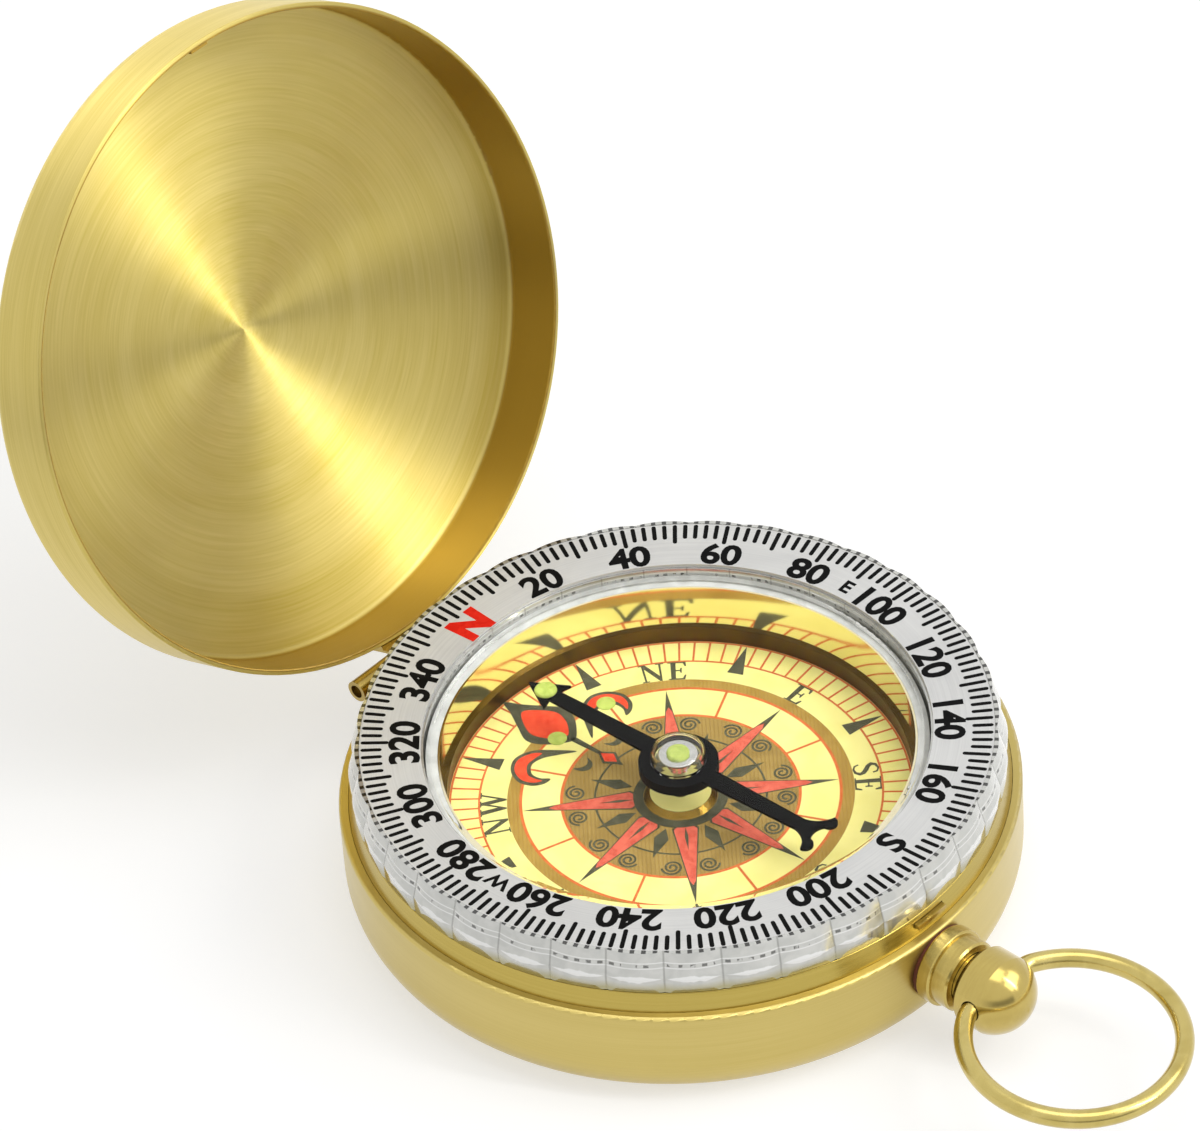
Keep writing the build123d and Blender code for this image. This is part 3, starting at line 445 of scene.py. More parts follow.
def lacquer(surface, weight, roughness):
    """The clear lacquer over brass, which adds a white sheen."""
    surface.inputs["Coat Weight"].default_value = weight
    surface.inputs["Coat Roughness"].default_value = roughness
    surface.inputs["Coat IOR"].default_value = 1.5


def spun_metal(name, dark, light, middle, axis, pitch, roughness, anisotropy, relief, coat, wall=None):
    """Metal turned on a lathe: fine rings about an axis, which draw the light out across them, and painted
    shade on a wall if one is given.
    """
    material, tree, surface = start_material(name)
    place = place_in(tree)
    outward, along = about_axis(tree, place, middle, axis)
    lines = use_group(tree, SPUN_LINES, Place=place, Middle=middle, Axis=axis, Pitch=pitch)
    marks = use_group(tree, HANDLING, Place=place)
    tone = weigh(tree, lines["Fine"], FINE_SHARE, lines["Broad"], BROAD_SHARE)
    tone = span(tree, tone, *NOISE_WIDE, 0.0, 1.0)
    shade = blend_colours(tree, tone, dark, light)
    # painted shade: the lid's inner wall takes a deeper colour, standing in for brass mirroring brass in the
    # recess
    if wall:
        shade = deepen_wall(tree, shade, wall, outward, along)
    put(tree, surface.inputs["Base Color"], shade)
    surface.inputs["Metallic"].default_value = 1.0
    rough = weigh(tree, lines["Fine"], LINE_ROUGHNESS, marks["Smear"], SMEAR_ROUGHNESS)
    mean = (LINE_ROUGHNESS + SMEAR_ROUGHNESS) / 2
    put(tree, surface.inputs["Roughness"], sums(tree, "ADD", rough, roughness - mean))
    surface.inputs["Anisotropic"].default_value = anisotropy
    put(tree, surface.inputs["Tangent"], across_rings(tree, outward, axis))
    lacquer(surface, coat, SPUN_LACQUER)
    add_relief(tree, surface, lines["Fine"], relief, SPUN_DEPTH)
    return material


def deepen_wall(tree, shade, wall, outward, along):
    """Painted shade on the lid's inner wall: a deeper colour that stands in for brass mirroring brass in the
    recess.
    """
    off_wall = off_middle(tree, vectors(tree, "LENGTH", outward), LID_BORE * MM)
    at_wall = fade(tree, off_wall, LID_WALL_EDGE, unit=MM)
    below = fade(tree, along, (LID_WALL_TOP, LID_WALL_TOP + LID_WALL_FADE), unit=MM)
    return blend_colours(tree, sums(tree, "MULTIPLY", at_wall, below), shade, wall)


def across_rings(tree, outward, axis):
    """The direction across the lathe's rings: outward on a face, and along the axis on a wall."""
    turned = add(tree, "VectorTransform", vector_type="VECTOR", convert_from="OBJECT", convert_to="WORLD")
    put(tree, turned.inputs["Vector"], vectors(tree, "ADD", vectors(tree, "NORMALIZE", outward), axis))
    return turned.outputs["Vector"]


def plain_metal(name, dark, light, roughness, grain=3.0, relief=0.05, coat=0.0):
    """Polished or drawn metal with faint smears."""
    material, tree, surface = start_material(name)
    marks = use_group(tree, HANDLING, Place=place_in(tree), Size=grain)
    put(tree, surface.inputs["Base Color"], blend_colours(tree, smear_tone(tree, marks), dark, light))
    surface.inputs["Metallic"].default_value = 1.0
    rough = smear_roughness(tree, marks, roughness * METAL_UNEVEN[0], roughness * METAL_UNEVEN[1])
    put(tree, surface.inputs["Roughness"], rough)
    lacquer(surface, coat, PLAIN_LACQUER)
    add_relief(tree, surface, marks["Smear"], relief, SMEAR_DEPTH)
    return material


# Plastics, paint and print

def painted(name, dark, light, roughness, grain=2.0, relief=0.1, gloss=0.5):
    """Paint, ink or moulded plastic, a little uneven in tone and gloss."""
    material, tree, surface = start_material(name)
    marks = use_group(tree, HANDLING, Place=place_in(tree), Size=grain)
    put(tree, surface.inputs["Base Color"], blend_colours(tree, smear_tone(tree, marks), dark, light))
    rough = smear_roughness(tree, marks, roughness * PAINT_UNEVEN[0], roughness * PAINT_UNEVEN[1])
    put(tree, surface.inputs["Roughness"], rough)
    surface.inputs["Specular IOR Level"].default_value = gloss
    add_relief(tree, surface, marks["Specks"], relief, SMEAR_DEPTH)
    return material


def hatched_print(name, dark, light, line):
    """The rose's brown print, with the fine slanting hatch of its engraving."""
    material, tree, surface = start_material(name)
    place = place_in(tree)
    hatch = add(tree, "TexWave", wave_type="BANDS", bands_direction="DIAGONAL")
    put(tree, hatch.inputs["Vector"], place)
    hatch.inputs["Scale"].default_value = HATCH_SCALE
    hatch.inputs["Distortion"].default_value = HATCH_WAVER
    marks = use_group(tree, HANDLING, Place=place, Size=2.5)
    tone = blend_colours(tree, smear_tone(tree, marks), dark, light)
    stroke_share = span(tree, hatch.outputs["Fac"], *HATCH_STROKE, 0.0, HATCH_STRENGTH)
    put(tree, surface.inputs["Base Color"], blend_colours(tree, stroke_share, tone, line))
    put(tree, surface.inputs["Roughness"], smear_roughness(tree, marks, 0.5, 0.65))
    surface.inputs["Specular IOR Level"].default_value = 0.15
    return material


def let_light_through(tree, surface, shade):
    """Lets lamplight pass a clear piece, a little dimmed, to what it covers."""
    see_through = add(tree, "BsdfTransparent")
    see_through.inputs["Color"].default_value = (shade, shade, shade, 1)
    ray = add(tree, "LightPath")
    mix = add(tree, "MixShader")
    put(tree, mix.inputs[0], ray.outputs["Is Shadow Ray"])
    put(tree, mix.inputs[1], surface.outputs["BSDF"])
    put(tree, mix.inputs[2], see_through.outputs["BSDF"])
    put(tree, tree.nodes["Material Output"].inputs["Surface"], mix.outputs[0])


def clear_acrylic(name, tint, roughness, marked, bending):
    """Clear plastic that lets light through to what it covers."""
    material, tree, surface = start_material(name)
    marks = use_group(tree, HANDLING, Place=place_in(tree), Size=7.0)
    worn = tuple(WORN_CLEAR * channel for channel in tint[:3]) + (1,)
    put(tree, surface.inputs["Base Color"], blend_colours(tree, marks["Specks"], tint, worn))
    rough = span(tree, marks["Smear"], *NOISE_ON_CLEAR, roughness, roughness + marked)
    put(tree, surface.inputs["Roughness"], rough)
    surface.inputs["IOR"].default_value = bending
    surface.inputs["Transmission Weight"].default_value = 1.0
    let_light_through(tree, surface, shade=0.95)
    return material


def repeated(tree, turn, count):
    """How far, from nought to one, a heading has come within one of the equal parts of a round."""
    return sums(tree, "FRACT", sums(tree, "MULTIPLY", turn, count / (2 * math.pi)))


def pale_crest(tree, clear, marks, aside, height):
    """A painted highlight along the widest place of each lobe: it arches over it and swells with the smears.
    """
    arch = sums(tree, "SUBTRACT", CREST_ARCH, sums(tree, "MULTIPLY", aside, aside))
    arch = sums(tree, "MULTIPLY", arch, sums(tree, "MULTIPLY", marks["Smear"], CREST_SWELL * MM))
    crest = sums(tree, "SUBTRACT", arch, off_middle(tree, height, CREST_HEIGHT * MM))
    crest = span(tree, crest, 0.0, CREST_EDGE * MM, 0.0, 1.0)
    return blend_colours(tree, crest, clear, colour(250, 250, 248))


def tick_ghosts(tree, clear, marks, turn, height):
    """Painted reflections of the ticks in the clear skirt: a broken dark row between two painted highlight
    lines.
    """
    off_row = off_middle(tree, height, GHOST_HEIGHT * MM)
    line = fade(tree, off_middle(tree, off_row, GHOST_LINE_AT * MM), GHOST_LINE, GHOST_STRENGTH, MM)
    clear = blend_colours(tree, line, clear, colour(250, 250, 247))
    tick = fade(tree, off_middle(tree, repeated(tree, turn, 360 / TICK_STEP), MIDWAY), GHOST_TICK)
    gaps = span(tree, marks["Smear"], *GHOST_GAPS, 0.0, GHOST_STRENGTH)
    row = fade(tree, off_row, GHOST_ROW, unit=MM)
    ghost = sums(tree, "MULTIPLY", sums(tree, "MULTIPLY", tick, gaps), row)
    return blend_colours(tree, ghost, clear, colour(56, 56, 52))


def rim_ticks(tree, clear, turn, height):
    """The ticks' outer ends, which run out over the top of the clear rim."""
    tick = off_middle(tree, repeated(tree, turn, 360 / TICK_STEP), RIM_TICK_AT)
    tick = fade(tree, tick, RIM_TICK, RIM_STRENGTH)
    rim = span(tree, height, RIM_HEIGHT * MM, (RIM_HEIGHT + RIM_FADE) * MM, 0.0, 1.0)
    return blend_colours(tree, sums(tree, "MULTIPLY", tick, rim), clear, colour(22, 22, 20))


def bezel_acrylic():
    """The bezel's clear skirt over silver, with painted light: a painted highlight along each crest, the
    brass behind painted into its foot, painted shade in the creases, and painted reflections of the ticks.
    """
    material, tree, surface = start_material("bezel_acrylic")
    place = place_in(tree)
    marks = use_group(tree, HANDLING, Place=place, Size=1.2)
    parts = add(tree, "SeparateXYZ")
    put(tree, parts.inputs[0], place)
    height = parts.outputs["Z"]
    turn = sums(tree, "ARCTAN2", parts.outputs["Y"], parts.outputs["X"])
    aside = off_middle(tree, repeated(tree, turn, BEZEL_LOBES), MIDWAY)
    clear = blend_colours(tree, smear_tone(tree, marks), colour(208, 209, 204), colour(222, 222, 217))
    # painted highlight along each lobe's crest
    clear = pale_crest(tree, clear, marks, aside, height)
    # painted reflections of the ticks, with painted highlight lines
    clear = tick_ghosts(tree, clear, marks, turn, height)
    clear = rim_ticks(tree, clear, turn, height)
    # painted shade in the crease between two lobes
    painted_crease_shade = span(tree, aside, *CREASE, 0.0, CREASE_STRENGTH)
    clear = blend_colours(tree, painted_crease_shade, clear, colour(120, 121, 114))
    # the brass behind the skirt, painted into its foot
    foot = fade(tree, height, FOOT, FOOT_STRENGTH, MM)
    put(tree, surface.inputs["Base Color"], blend_colours(tree, foot, clear, colour(178, 168, 108)))
    put(tree, surface.inputs["Roughness"], span(tree, marks["Smear"], *NOISE_ON_BEZEL, 0.08, 0.16))
    surface.inputs["Metallic"].default_value = 0.5
    surface.inputs["IOR"].default_value = 1.49
    surface.inputs["Transmission Weight"].default_value = 0.3
    lacquer(surface, 1.0, BEZEL_GLOSS)
    let_light_through(tree, surface, shade=0.7)
    return material


def silver_scale():
    """The silvered ring of the bezel, with fine rings and a soft sheen."""
    material, tree, surface = start_material("silver_scale")
    place = place_in(tree)
    lines = use_group(tree, SPUN_LINES, Place=place, Middle=CASE_MIDDLE, Axis=UPRIGHT, Pitch=0.12)
    marks = use_group(tree, HANDLING, Place=place, Size=5.0)
    tone = weigh(tree, lines["Fine"], MIDWAY, marks["Smear"], MIDWAY)
    tone = span(tree, tone, *NOISE_WIDE, 0.0, 1.0)
    shade = blend_colours(tree, tone, colour(206, 206, 205), colour(227, 227, 225))
    put(tree, surface.inputs["Base Color"], shade)
    surface.inputs["Metallic"].default_value = 0.3
    put(tree, surface.inputs["Roughness"], span(tree, lines["Fine"], *NOISE_WIDE, 0.34, 0.46))
    return material


MATERIALS = {
    "lid": spun_metal(
        "spun_brass_lid", colour(209, 187, 88), colour(232, 212, 128), LID_MIDDLE, LID_AXIS,
        # wall: painted shade for the lid's inner wall, standing in for brass mirroring brass
        pitch=0.16, roughness=0.46, anisotropy=1.0, relief=0.2, coat=0.5, wall=colour(172, 138, 48),
    ),
    "case": spun_metal(
        "spun_brass_case", colour(197, 176, 97), colour(207, 187, 111), CASE_MIDDLE, UPRIGHT,
        pitch=0.12, roughness=0.4, anisotropy=0.5, relief=0.06, coat=0.5,
    ),
    "band": spun_metal(
        "bright_brass_band", colour(176, 154, 68), colour(190, 168, 84), CASE_MIDDLE, UPRIGHT,
        pitch=0.12, roughness=0.22, anisotropy=0.4, relief=0.05, coat=0.5,
    ),
    "crown": spun_metal(
        "polished_brass_crown", colour(186, 163, 84), colour(196, 174, 95), CROWN_MIDDLE, ALONG_CROWN,
        pitch=0.2, roughness=0.19, anisotropy=0.4, relief=0.02, coat=0.6,
    ),
    "bow": plain_metal("drawn_brass_wire", colour(188, 168, 90), colour(206, 187, 112), 0.22, coat=0.6),
    "hinge": plain_metal("drawn_brass_hinge", colour(164, 138, 60), colour(184, 158, 78), 0.26, coat=0.6),
    "bronze": plain_metal("bronze_band", colour(80, 62, 23), colour(97, 76, 31), 0.34),
    "liner": plain_metal(
        "bright_liner", colour(234, 224, 184), colour(244, 236, 204), 0.08, grain=8.0, relief=0.02,
    ),
    "steel": plain_metal("bright_steel", colour(196, 196, 194), colour(214, 214, 212), 0.22),
    "spring": plain_metal("spring_steel", colour(134, 136, 140), colour(156, 158, 162), 0.32),
    "boss": plain_metal("gilt_boss", colour(128, 100, 38), colour(152, 122, 52), 0.24),
    "clear": clear_acrylic(
        "clear_acrylic", (0.985, 0.99, 0.985, 1), roughness=0.0, marked=0.03, bending=1.35,
    ),
    "window": clear_acrylic(
        "clear_window", (0.99, 0.99, 0.985, 1), roughness=0.0, marked=0.02, bending=1.12,
    ),
    "dome": clear_acrylic(
        "clear_dome", (0.985, 0.985, 0.975, 1), roughness=0.0, marked=0.02, bending=1.3,
    ),
    "bezel": bezel_acrylic(),
    "scale": silver_scale(),
    "dial": painted(
        "dial_yellow", colour(231, 222, 132), colour(239, 231, 146), 0.5, grain=4.0, relief=0.05, gloss=0.2,
    ),
    "needle": painted("needle_black", colour(5, 5, 5), colour(10, 10, 10), 0.5, grain=0.8, gloss=0.05),
    "lume": painted(
        "luminous_green", colour(164, 184, 78), colour(190, 206, 104), 0.62,
        grain=0.6, relief=0.4, gloss=0.2,
    ),
    "seat": painted("seat_plastic", colour(214, 208, 192), colour(224, 219, 204), 0.5),
    "slip": painted("slip_plastic", colour(226, 226, 222), colour(236, 236, 232), 0.4),
    "capsule": painted("capsule_plastic", colour(184, 185, 180), colour(204, 205, 200), 0.4, grain=1.5),
    "fibre": painted("fibre_washer", colour(84, 36, 22), colour(112, 52, 32), 0.6, grain=0.6),
    "ink": painted("black_ink", colour(6, 6, 6), colour(14, 14, 14), 0.5, grain=0.7, gloss=0.06),
    "red_ink": painted("bezel_red_ink", colour(224, 30, 16), colour(240, 46, 28), 0.5, grain=0.8, gloss=0.1),
    "grey_print": painted("grey_print", colour(70, 70, 52), colour(90, 89, 68), 0.5, grain=0.7, gloss=0.1),
    "lily_red": painted("lily_red", colour(222, 64, 36), colour(238, 88, 54), 0.5, grain=0.5, gloss=0.1),
    "rose_red": painted("rose_red", colour(196, 84, 66), colour(218, 108, 86), 0.5, grain=0.5, gloss=0.1),
    "fine_red": painted(
        "fine_red_print", colour(198, 98, 48), colour(212, 116, 62), 0.5, grain=0.6, gloss=0.1,
    ),
    "tan_print": hatched_print(
        "tan_print", colour(158, 126, 54), colour(176, 144, 68), colour(128, 96, 40),
    ),
    "rose_print": hatched_print(
        "rose_print", colour(146, 120, 60), colour(166, 139, 75), colour(108, 84, 40),
    ),
}

NODE_MATERIALS = {
    "case_shell": "case",
    "mouth_band": "band",
    "capsule_cup": "capsule",
    "capsule_seat": "seat",
    "crystal": "window",
    "slip_washer": "slip",
    "dial_card": "dial",
    "dial_band": "bronze",
    "mirror_liner": "liner",
    "pivot_base": "boss",
    "pivot_post": "steel",
    "needle": "needle",
    "bearing_cap": "clear",
    "jewel": "clear",
    "hub_washer": "steel",
    "hub_lume": "lume",
    "hub_dome": "dome",
    "north_lume": "lume",
    "bezel_ring": "bezel",
    "scale_ring": "scale",
    "lid_shell": "lid",
    "lid_knuckle": "hinge",
    "case_knuckles": "hinge",
    "hinge_pin": "steel",
    "saddle_washer": "fibre",
    "collar": "crown",
    "crown": "crown",
    "stem": "steel",
    "stem_clip": "spring",
    "latch_tongue": "hinge",
    "return_spring": "spring",
    "bow_ring": "bow",
}


def dress_nodes():
    """Every CAD node takes its finish."""
    for name, finish in NODE_MATERIALS.items():
        piece = nodes[name]
        piece.data.materials.clear()
        piece.data.materials.append(MATERIALS[finish])


def flexing_spring():
    """The spring behind the crown, as a piece of its own carried by the case in place of the packed one."""
    spring = bpy.data.objects.new("return_spring_leaf", nodes["return_spring"].data.copy())
    bpy.context.scene.collection.objects.link(spring)
    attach(spring, "case")
    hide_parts("return_spring")
    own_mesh(spring)


# Printed work. Outlines are lists of (x, y) in mm, x to the right and y outward at a bearing from north.

def at_bearing(bearing, x, y):
    """The plan place, in mm, of a point x to the right and y outward at a bearing clockwise from north."""
    turn = math.radians(bearing)
    return (-y * math.cos(turn) + x * math.sin(turn), y * math.sin(turn) + x * math.cos(turn))


def turned_to(bearing, outline):
    """An outline drawn at north, turned to a bearing."""
    return [at_bearing(bearing, x, y) for x, y in outline]


def along_ring(outline, radius, bearing):
    """An outline drawn about the origin, laid along a ring with its top outward."""
    return [at_bearing(bearing + math.degrees(x / radius), 0, radius + y) for x, y in outline]


def mirrored(outline):
    """The outline's other hand, for the left side."""
    return [(-x, y) for x, y in outline]


def circle(radius, steps=CIRCLE_STEPS):
    """A round outline about the compass's axis."""
    return [at_bearing(360 * step / steps, 0, radius) for step in range(steps)]


def ring_outline(inner, outer):
    """A flat ring: its outer round and the hole in it."""
    return [circle(outer), circle(inner)]


def line_ring(radius, width):
    """A thin round line."""
    return ring_outline(radius - width / 2, radius + width / 2)


def round_dot(radius, x, y, steps=DOT_STEPS):
    """A small round outline at a place."""
    points = []
    for step in range(steps):
        turn = 2 * math.pi * step / steps
        points.append((x + radius * math.cos(turn), y + radius * math.sin(turn)))
    return points


def stripe(low, high, width):
    """A straight line from one radius to another, as an outline."""
    half = width / 2
    return [(-half, low), (half, low), (half, high), (-half, high)]


def round_bar(width, low, high, steps=BAR_END_STEPS):
    """A bar with round ends, as an outline."""
    half = width / 2
    points = []
    for step in range(steps + 1):
        turn = math.pi * step / steps
        points.append((half * math.cos(turn), high - half + half * math.sin(turn)))
    for step in range(steps + 1):
        turn = math.pi + math.pi * step / steps
        points.append((half * math.cos(turn), low + half + half * math.sin(turn)))
    return points


def smooth(points, steps=CURVE_STEPS):
    """A closed outline that passes smoothly through the given points."""
    count = len(points)
    result = []
    for place in range(count):
        a, b, c, d = (Vector(points[(place + offset) % count]) for offset in (-1, 0, 1, 2))
        for step in range(steps):
            t = step / steps
            bend = (2 * a - 5 * b + 4 * c - d) * t * t + (3 * b - a - 3 * c + d) * t * t * t
            point = 0.5 * (2 * b + (c - a) * t + bend)
            result.append((point.x, point.y))
    return result


def stroke(points, widths):
    """A line drawn with a pen whose width changes, as an outline."""
    left = []
    right = []
    for place, point in enumerate(points):
        before = Vector(points[max(place - 1, 0)])
        after = Vector(points[min(place + 1, len(points) - 1)])
        run = (after - before).normalized()
        side = Vector((-run.y, run.x)) * widths[place] / 2
        left.append(tuple(Vector(point) + side))
        right.append(tuple(Vector(point) - side))
    return left + right[::-1]


def run_one_way(outline, to_the_left):
    """The outline in the order that keeps its inside to the left, or to the right for a hole."""
    area = 0
    for (x, y), (next_x, next_y) in zip(outline, outline[1:] + outline[:1]):
        area += x * next_y - next_x * y
    return outline if (area > 0) == to_the_left else outline[::-1]


def solid_from_outlines(outlines, thickness):
    """A thin solid, as points and faces in mm, from a closed outline and the holes in it."""
    loops = [run_one_way(outline, place == 0) for place, outline in enumerate(outlines)]
    flat = [Vector((x, y, 0)) for loop in loops for x, y in loop]
    count = len(flat)
    points = [(p.x, p.y, height) for height in (0, thickness) for p in flat]
    faces = []
    for a, b, c in tessellate_polygon([[Vector((x, y, 0)) for x, y in loop] for loop in loops]):
        if (flat[b] - flat[a]).cross(flat[c] - flat[a]).z < 0:
            b, c = c, b
        faces.append((a + count, b + count, c + count))
        faces.append((c, b, a))
    first = 0
    for loop in loops:
        for place in range(len(loop)):
            here = first + place
            after = first + (place + 1) % len(loop)
            faces.append((here, after, after + count, here + count))
        first += len(loop)
    return points, faces


def plain_words(words, thickness):
    """Words in the plain built-in type, each (text, height, stretch, weight), as solids about the origin."""
    holders = []
    for text, height, stretch, weight in words:
        word = bpy.data.curves.new("word", "FONT")
        word.body = text
        word.offset = weight
        word.extrude = WORD_DEPTH
        word.resolution_u = WORD_CURVE_STEPS
        holder = bpy.data.objects.new("word", word)
        bpy.context.scene.collection.objects.link(holder)
        holders.append(holder)
    graph = bpy.context.evaluated_depsgraph_get()
    graph.update()
    solids = []
    for holder, (text, height, stretch, weight) in zip(holders, words):
        mesh = bpy.data.meshes.new_from_object(holder.evaluated_get(graph))
        solids.append(sized_word(mesh, height, stretch, thickness))
        bpy.data.meshes.remove(mesh)
    for holder in holders:
        word = holder.data
        bpy.data.objects.remove(holder)
        bpy.data.curves.remove(word)
    return solids


def sized_word(mesh, height, stretch, thickness):
    """A word's mesh as points and faces: scaled to a height, corners joined, its middle at the origin."""
    low = Vector(min(v.co[axis] for v in mesh.vertices) for axis in range(2))
    high = Vector(max(v.co[axis] for v in mesh.vertices) for axis in range(2))
    scale = height / (high.y - low.y)
    middle = (low + high) / 2
    joined = {}
    points = []
    order = []
    for vertex in mesh.vertices:
        x = (vertex.co.x - middle.x) * scale * stretch
        y = (vertex.co.y - middle.y) * scale
        z = thickness if vertex.co.z > 0 else 0.0
        key = (round(x, 4), round(y, 4), z)
        if key not in joined:
            joined[key] = len(points)
            points.append((x, y, z))
        order.append(joined[key])
    faces = []
    for polygon in mesh.polygons:
        corners = list(dict.fromkeys(order[index] for index in polygon.vertices))
        if len(corners) > 2:
            faces.append(corners)
    return points, faces


def word_along_ring(solid, radius, bearing):
    """A word laid along a ring with its tops outward."""
    points, faces = solid
    placed = []
    for x, y, z in points:
        px, py = at_bearing(bearing + math.degrees(x / radius), 0, radius + y)
        placed.append((px, py, z))
    return placed, faces


def printed(name, solids, height, turn, finish, body):
    """One printed layer: its solids in one piece, turned, and laid at the height that each radius has."""
    points = []
    faces = []
    turning = Matrix.Rotation(math.radians(turn), 3, "Z")
    for solid_points, solid_faces in solids:
        first = len(points)
        for x, y, z in solid_points:
            level = height(math.hypot(x, y)) - PRINT_SINK + z
            points.append(turning @ Vector((x, y, level)) * MM)
        faces += [[first + index for index in face] for face in solid_faces]
    mesh = bpy.data.meshes.new(name)
    mesh.from_pydata(points, [], faces)
    mesh.update()
    piece = bpy.data.objects.new(name, mesh)
    bpy.context.scene.collection.objects.link(piece)
    mesh.materials.append(MATERIALS[finish])
    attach(piece, body)


def layer(level):
    """Thickness of a printed layer that shows above the levels below it."""
    return PRINT_SINK + PRINT_LAYER * level


# Bezel's print

SCALE_CORNER = Vector(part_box("scale_ring")[1]) / MM


def bezel_height(radius):
    """Height of the dished scale ring at a radius, in mm."""
    return SCALE_CORNER.z - SCALE_DISH * (SCALE_CORNER.x - radius) / (SCALE_CORNER.x - SCALE_INNER)


def bezel_layer(name, solids, finish):
    """A layer of the bezel's print."""
    printed(name, solids, bezel_height, BEZEL_TURN, finish, "bezel")


def bezel_ticks():
    """A tick every two degrees, with a longer one every ten."""
    solids = []
    for bearing in range(0, 360, TICK_STEP):
        inner = LONG_TICK_INNER if bearing % LONG_TICK_STEP == 0 else TICK_INNER
        outline = round_bar(TICK_WIDTH, inner, TICK_OUTER)
        solids.append(solid_from_outlines([turned_to(bearing, outline)], layer(1)))
    bezel_layer("bezel_ticks", solids, "ink")


def bezel_numbers():
    """The degrees, the small letters at the sides, and the red letter at north."""
    bearings = [bearing for bearing in range(NUMBER_STEP, 360, NUMBER_STEP) if bearing != SOUTH]
    words = [(str(bearing), NUMBER_HEIGHT, NUMBER_STRETCH, NUMBER_WEIGHT) for bearing in bearings]
    bearings += [SOUTH, EAST, WEST]
    words.append(("S", NUMBER_HEIGHT, NUMBER_STRETCH, NUMBER_WEIGHT))
    words.append(("E", SMALL_LETTER_HEIGHT, 1.0, NUMBER_WEIGHT))
    words.append(("W", SMALL_LETTER_HEIGHT, 1.0, NUMBER_WEIGHT))
    words.append(("N", NORTH_HEIGHT, NORTH_STRETCH, NORTH_WEIGHT))
    solids = plain_words(words, layer(1))
    black = [word_along_ring(solid, NUMBER_RADIUS, bearing) for solid, bearing in zip(solids, bearings)]
    bezel_layer("bezel_numbers", black, "ink")
    bezel_layer("bezel_north", [word_along_ring(solids[-1], NUMBER_RADIUS, NORTH)], "red_ink")


# Dial's print

DIAL_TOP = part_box("dial_card")[1][2] / MM
BOSS_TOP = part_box("pivot_base")[1][2] / MM


def dial_height(radius):
    """Height of the flat dial, the same at every radius, in mm."""
    return DIAL_TOP


def boss_height(radius):
    """Height of the boss's flat top, the same at every radius, in mm."""
    return BOSS_TOP


def between_points():
    """The bearings midway between the rose's points."""
    return [POINT_STEP * (point + MIDWAY) for point in range(ROSE_POINTS)]


def dial_layer(name, outline_groups, level, finish):
    """A layer of the dial's print. Each group is an outline with the holes in it."""
    solids = [solid_from_outlines(group, layer(level)) for group in outline_groups]
    printed(name, solids, dial_height, DIAL_TURN, finish, "case")


def dial_rings():
    """The coloured ring and the rose's round ground, then the thin red lines."""
    dial_layer("dial_tan_ring", [ring_outline(*TAN_RING)], 1, "tan_print")
    dial_layer("dial_rose_ground", [[circle(ROSE_RADIUS)]], 1, "rose_print")
    lines = [
        line_ring(OUTER_SCALE[0], LINE_WIDTH),
        line_ring(OUTER_SCALE[1], LINE_WIDTH),
        line_ring(TAN_RING[0], RING_LINE_WIDTH),
        line_ring(ROSE_RADIUS, RING_LINE_WIDTH),
    ]
    inset = LINE_WIDTH / 2
    cell_line = stripe(OUTER_SCALE[0] + inset, OUTER_SCALE[1] - inset, LINE_WIDTH)
    for cell in range(OUTER_SCALE_CELLS):
        lines.append([turned_to(360 * (cell + MIDWAY) / OUTER_SCALE_CELLS, cell_line)])
    ring_inset = RING_LINE_WIDTH / 2
    ray = stripe(ROSE_RADIUS + ring_inset, TAN_RING[0] - ring_inset, RAY_LINE_WIDTH)
    lines += [[turned_to(bearing, ray)] for bearing in between_points()]
    dial_layer("dial_red_lines", lines, 2, "fine_red")


def serif_letter(letter):
    """A grey letter with serifs, one unit high, as an outline."""
    if letter == "N":
        return [
            (0, 0), (0.30, 0), (0.30, 0.05), (0.19, 0.05), (0.19, 0.78), (0.72, 0), (0.82, 0), (0.82, 0.95),
            (0.93, 0.95), (0.93, 1), (0.63, 1), (0.63, 0.95), (0.74, 0.95), (0.74, 0.28), (0.25, 1), (0, 1),
            (0, 0.95), (0.11, 0.95), (0.11, 0.05), (0, 0.05),
        ]
    if letter == "E":
        return [
            (0, 0), (0.68, 0), (0.72, 0.26), (0.66, 0.26), (0.58, 0.06), (0.30, 0.06), (0.30, 0.48),
            (0.46, 0.48), (0.48, 0.38), (0.53, 0.38), (0.53, 0.66), (0.48, 0.66), (0.46, 0.54), (0.30, 0.54),
            (0.30, 0.94), (0.56, 0.94), (0.63, 0.76), (0.69, 0.76), (0.66, 1), (0, 1), (0, 0.95),
            (0.11, 0.95), (0.11, 0.05), (0, 0.05),
        ]
    if letter == "W":
        return [
            (0, 1), (0, 0.95), (0.08, 0.95), (0.33, 0), (0.41, 0), (0.62, 0.66), (0.84, 0), (0.92, 0),
            (1.15, 0.95), (1.25, 0.95), (1.25, 1), (0.95, 1), (0.95, 0.95), (1.07, 0.95), (0.92, 0.32),
            (0.73, 0.95), (0.80, 0.95), (0.80, 1), (0.50, 1), (0.50, 0.95), (0.57, 0.95), (0.59, 0.88),
            (0.44, 0.32), (0.28, 0.95), (0.36, 0.95), (0.36, 1),
        ]
    bends = [
        (0.56, 0.74), (0.52, 0.90), (0.36, 0.97), (0.16, 0.90), (0.10, 0.74), (0.20, 0.60), (0.38, 0.50),
        (0.54, 0.38), (0.60, 0.24), (0.50, 0.08), (0.30, 0.03), (0.12, 0.10), (0.06, 0.26),
    ]
    widths = [0.06, 0.07, 0.08, 0.12, 0.15, 0.17, 0.18, 0.17, 0.15, 0.12, 0.08, 0.07, 0.06]
    return stroke(bends, widths)


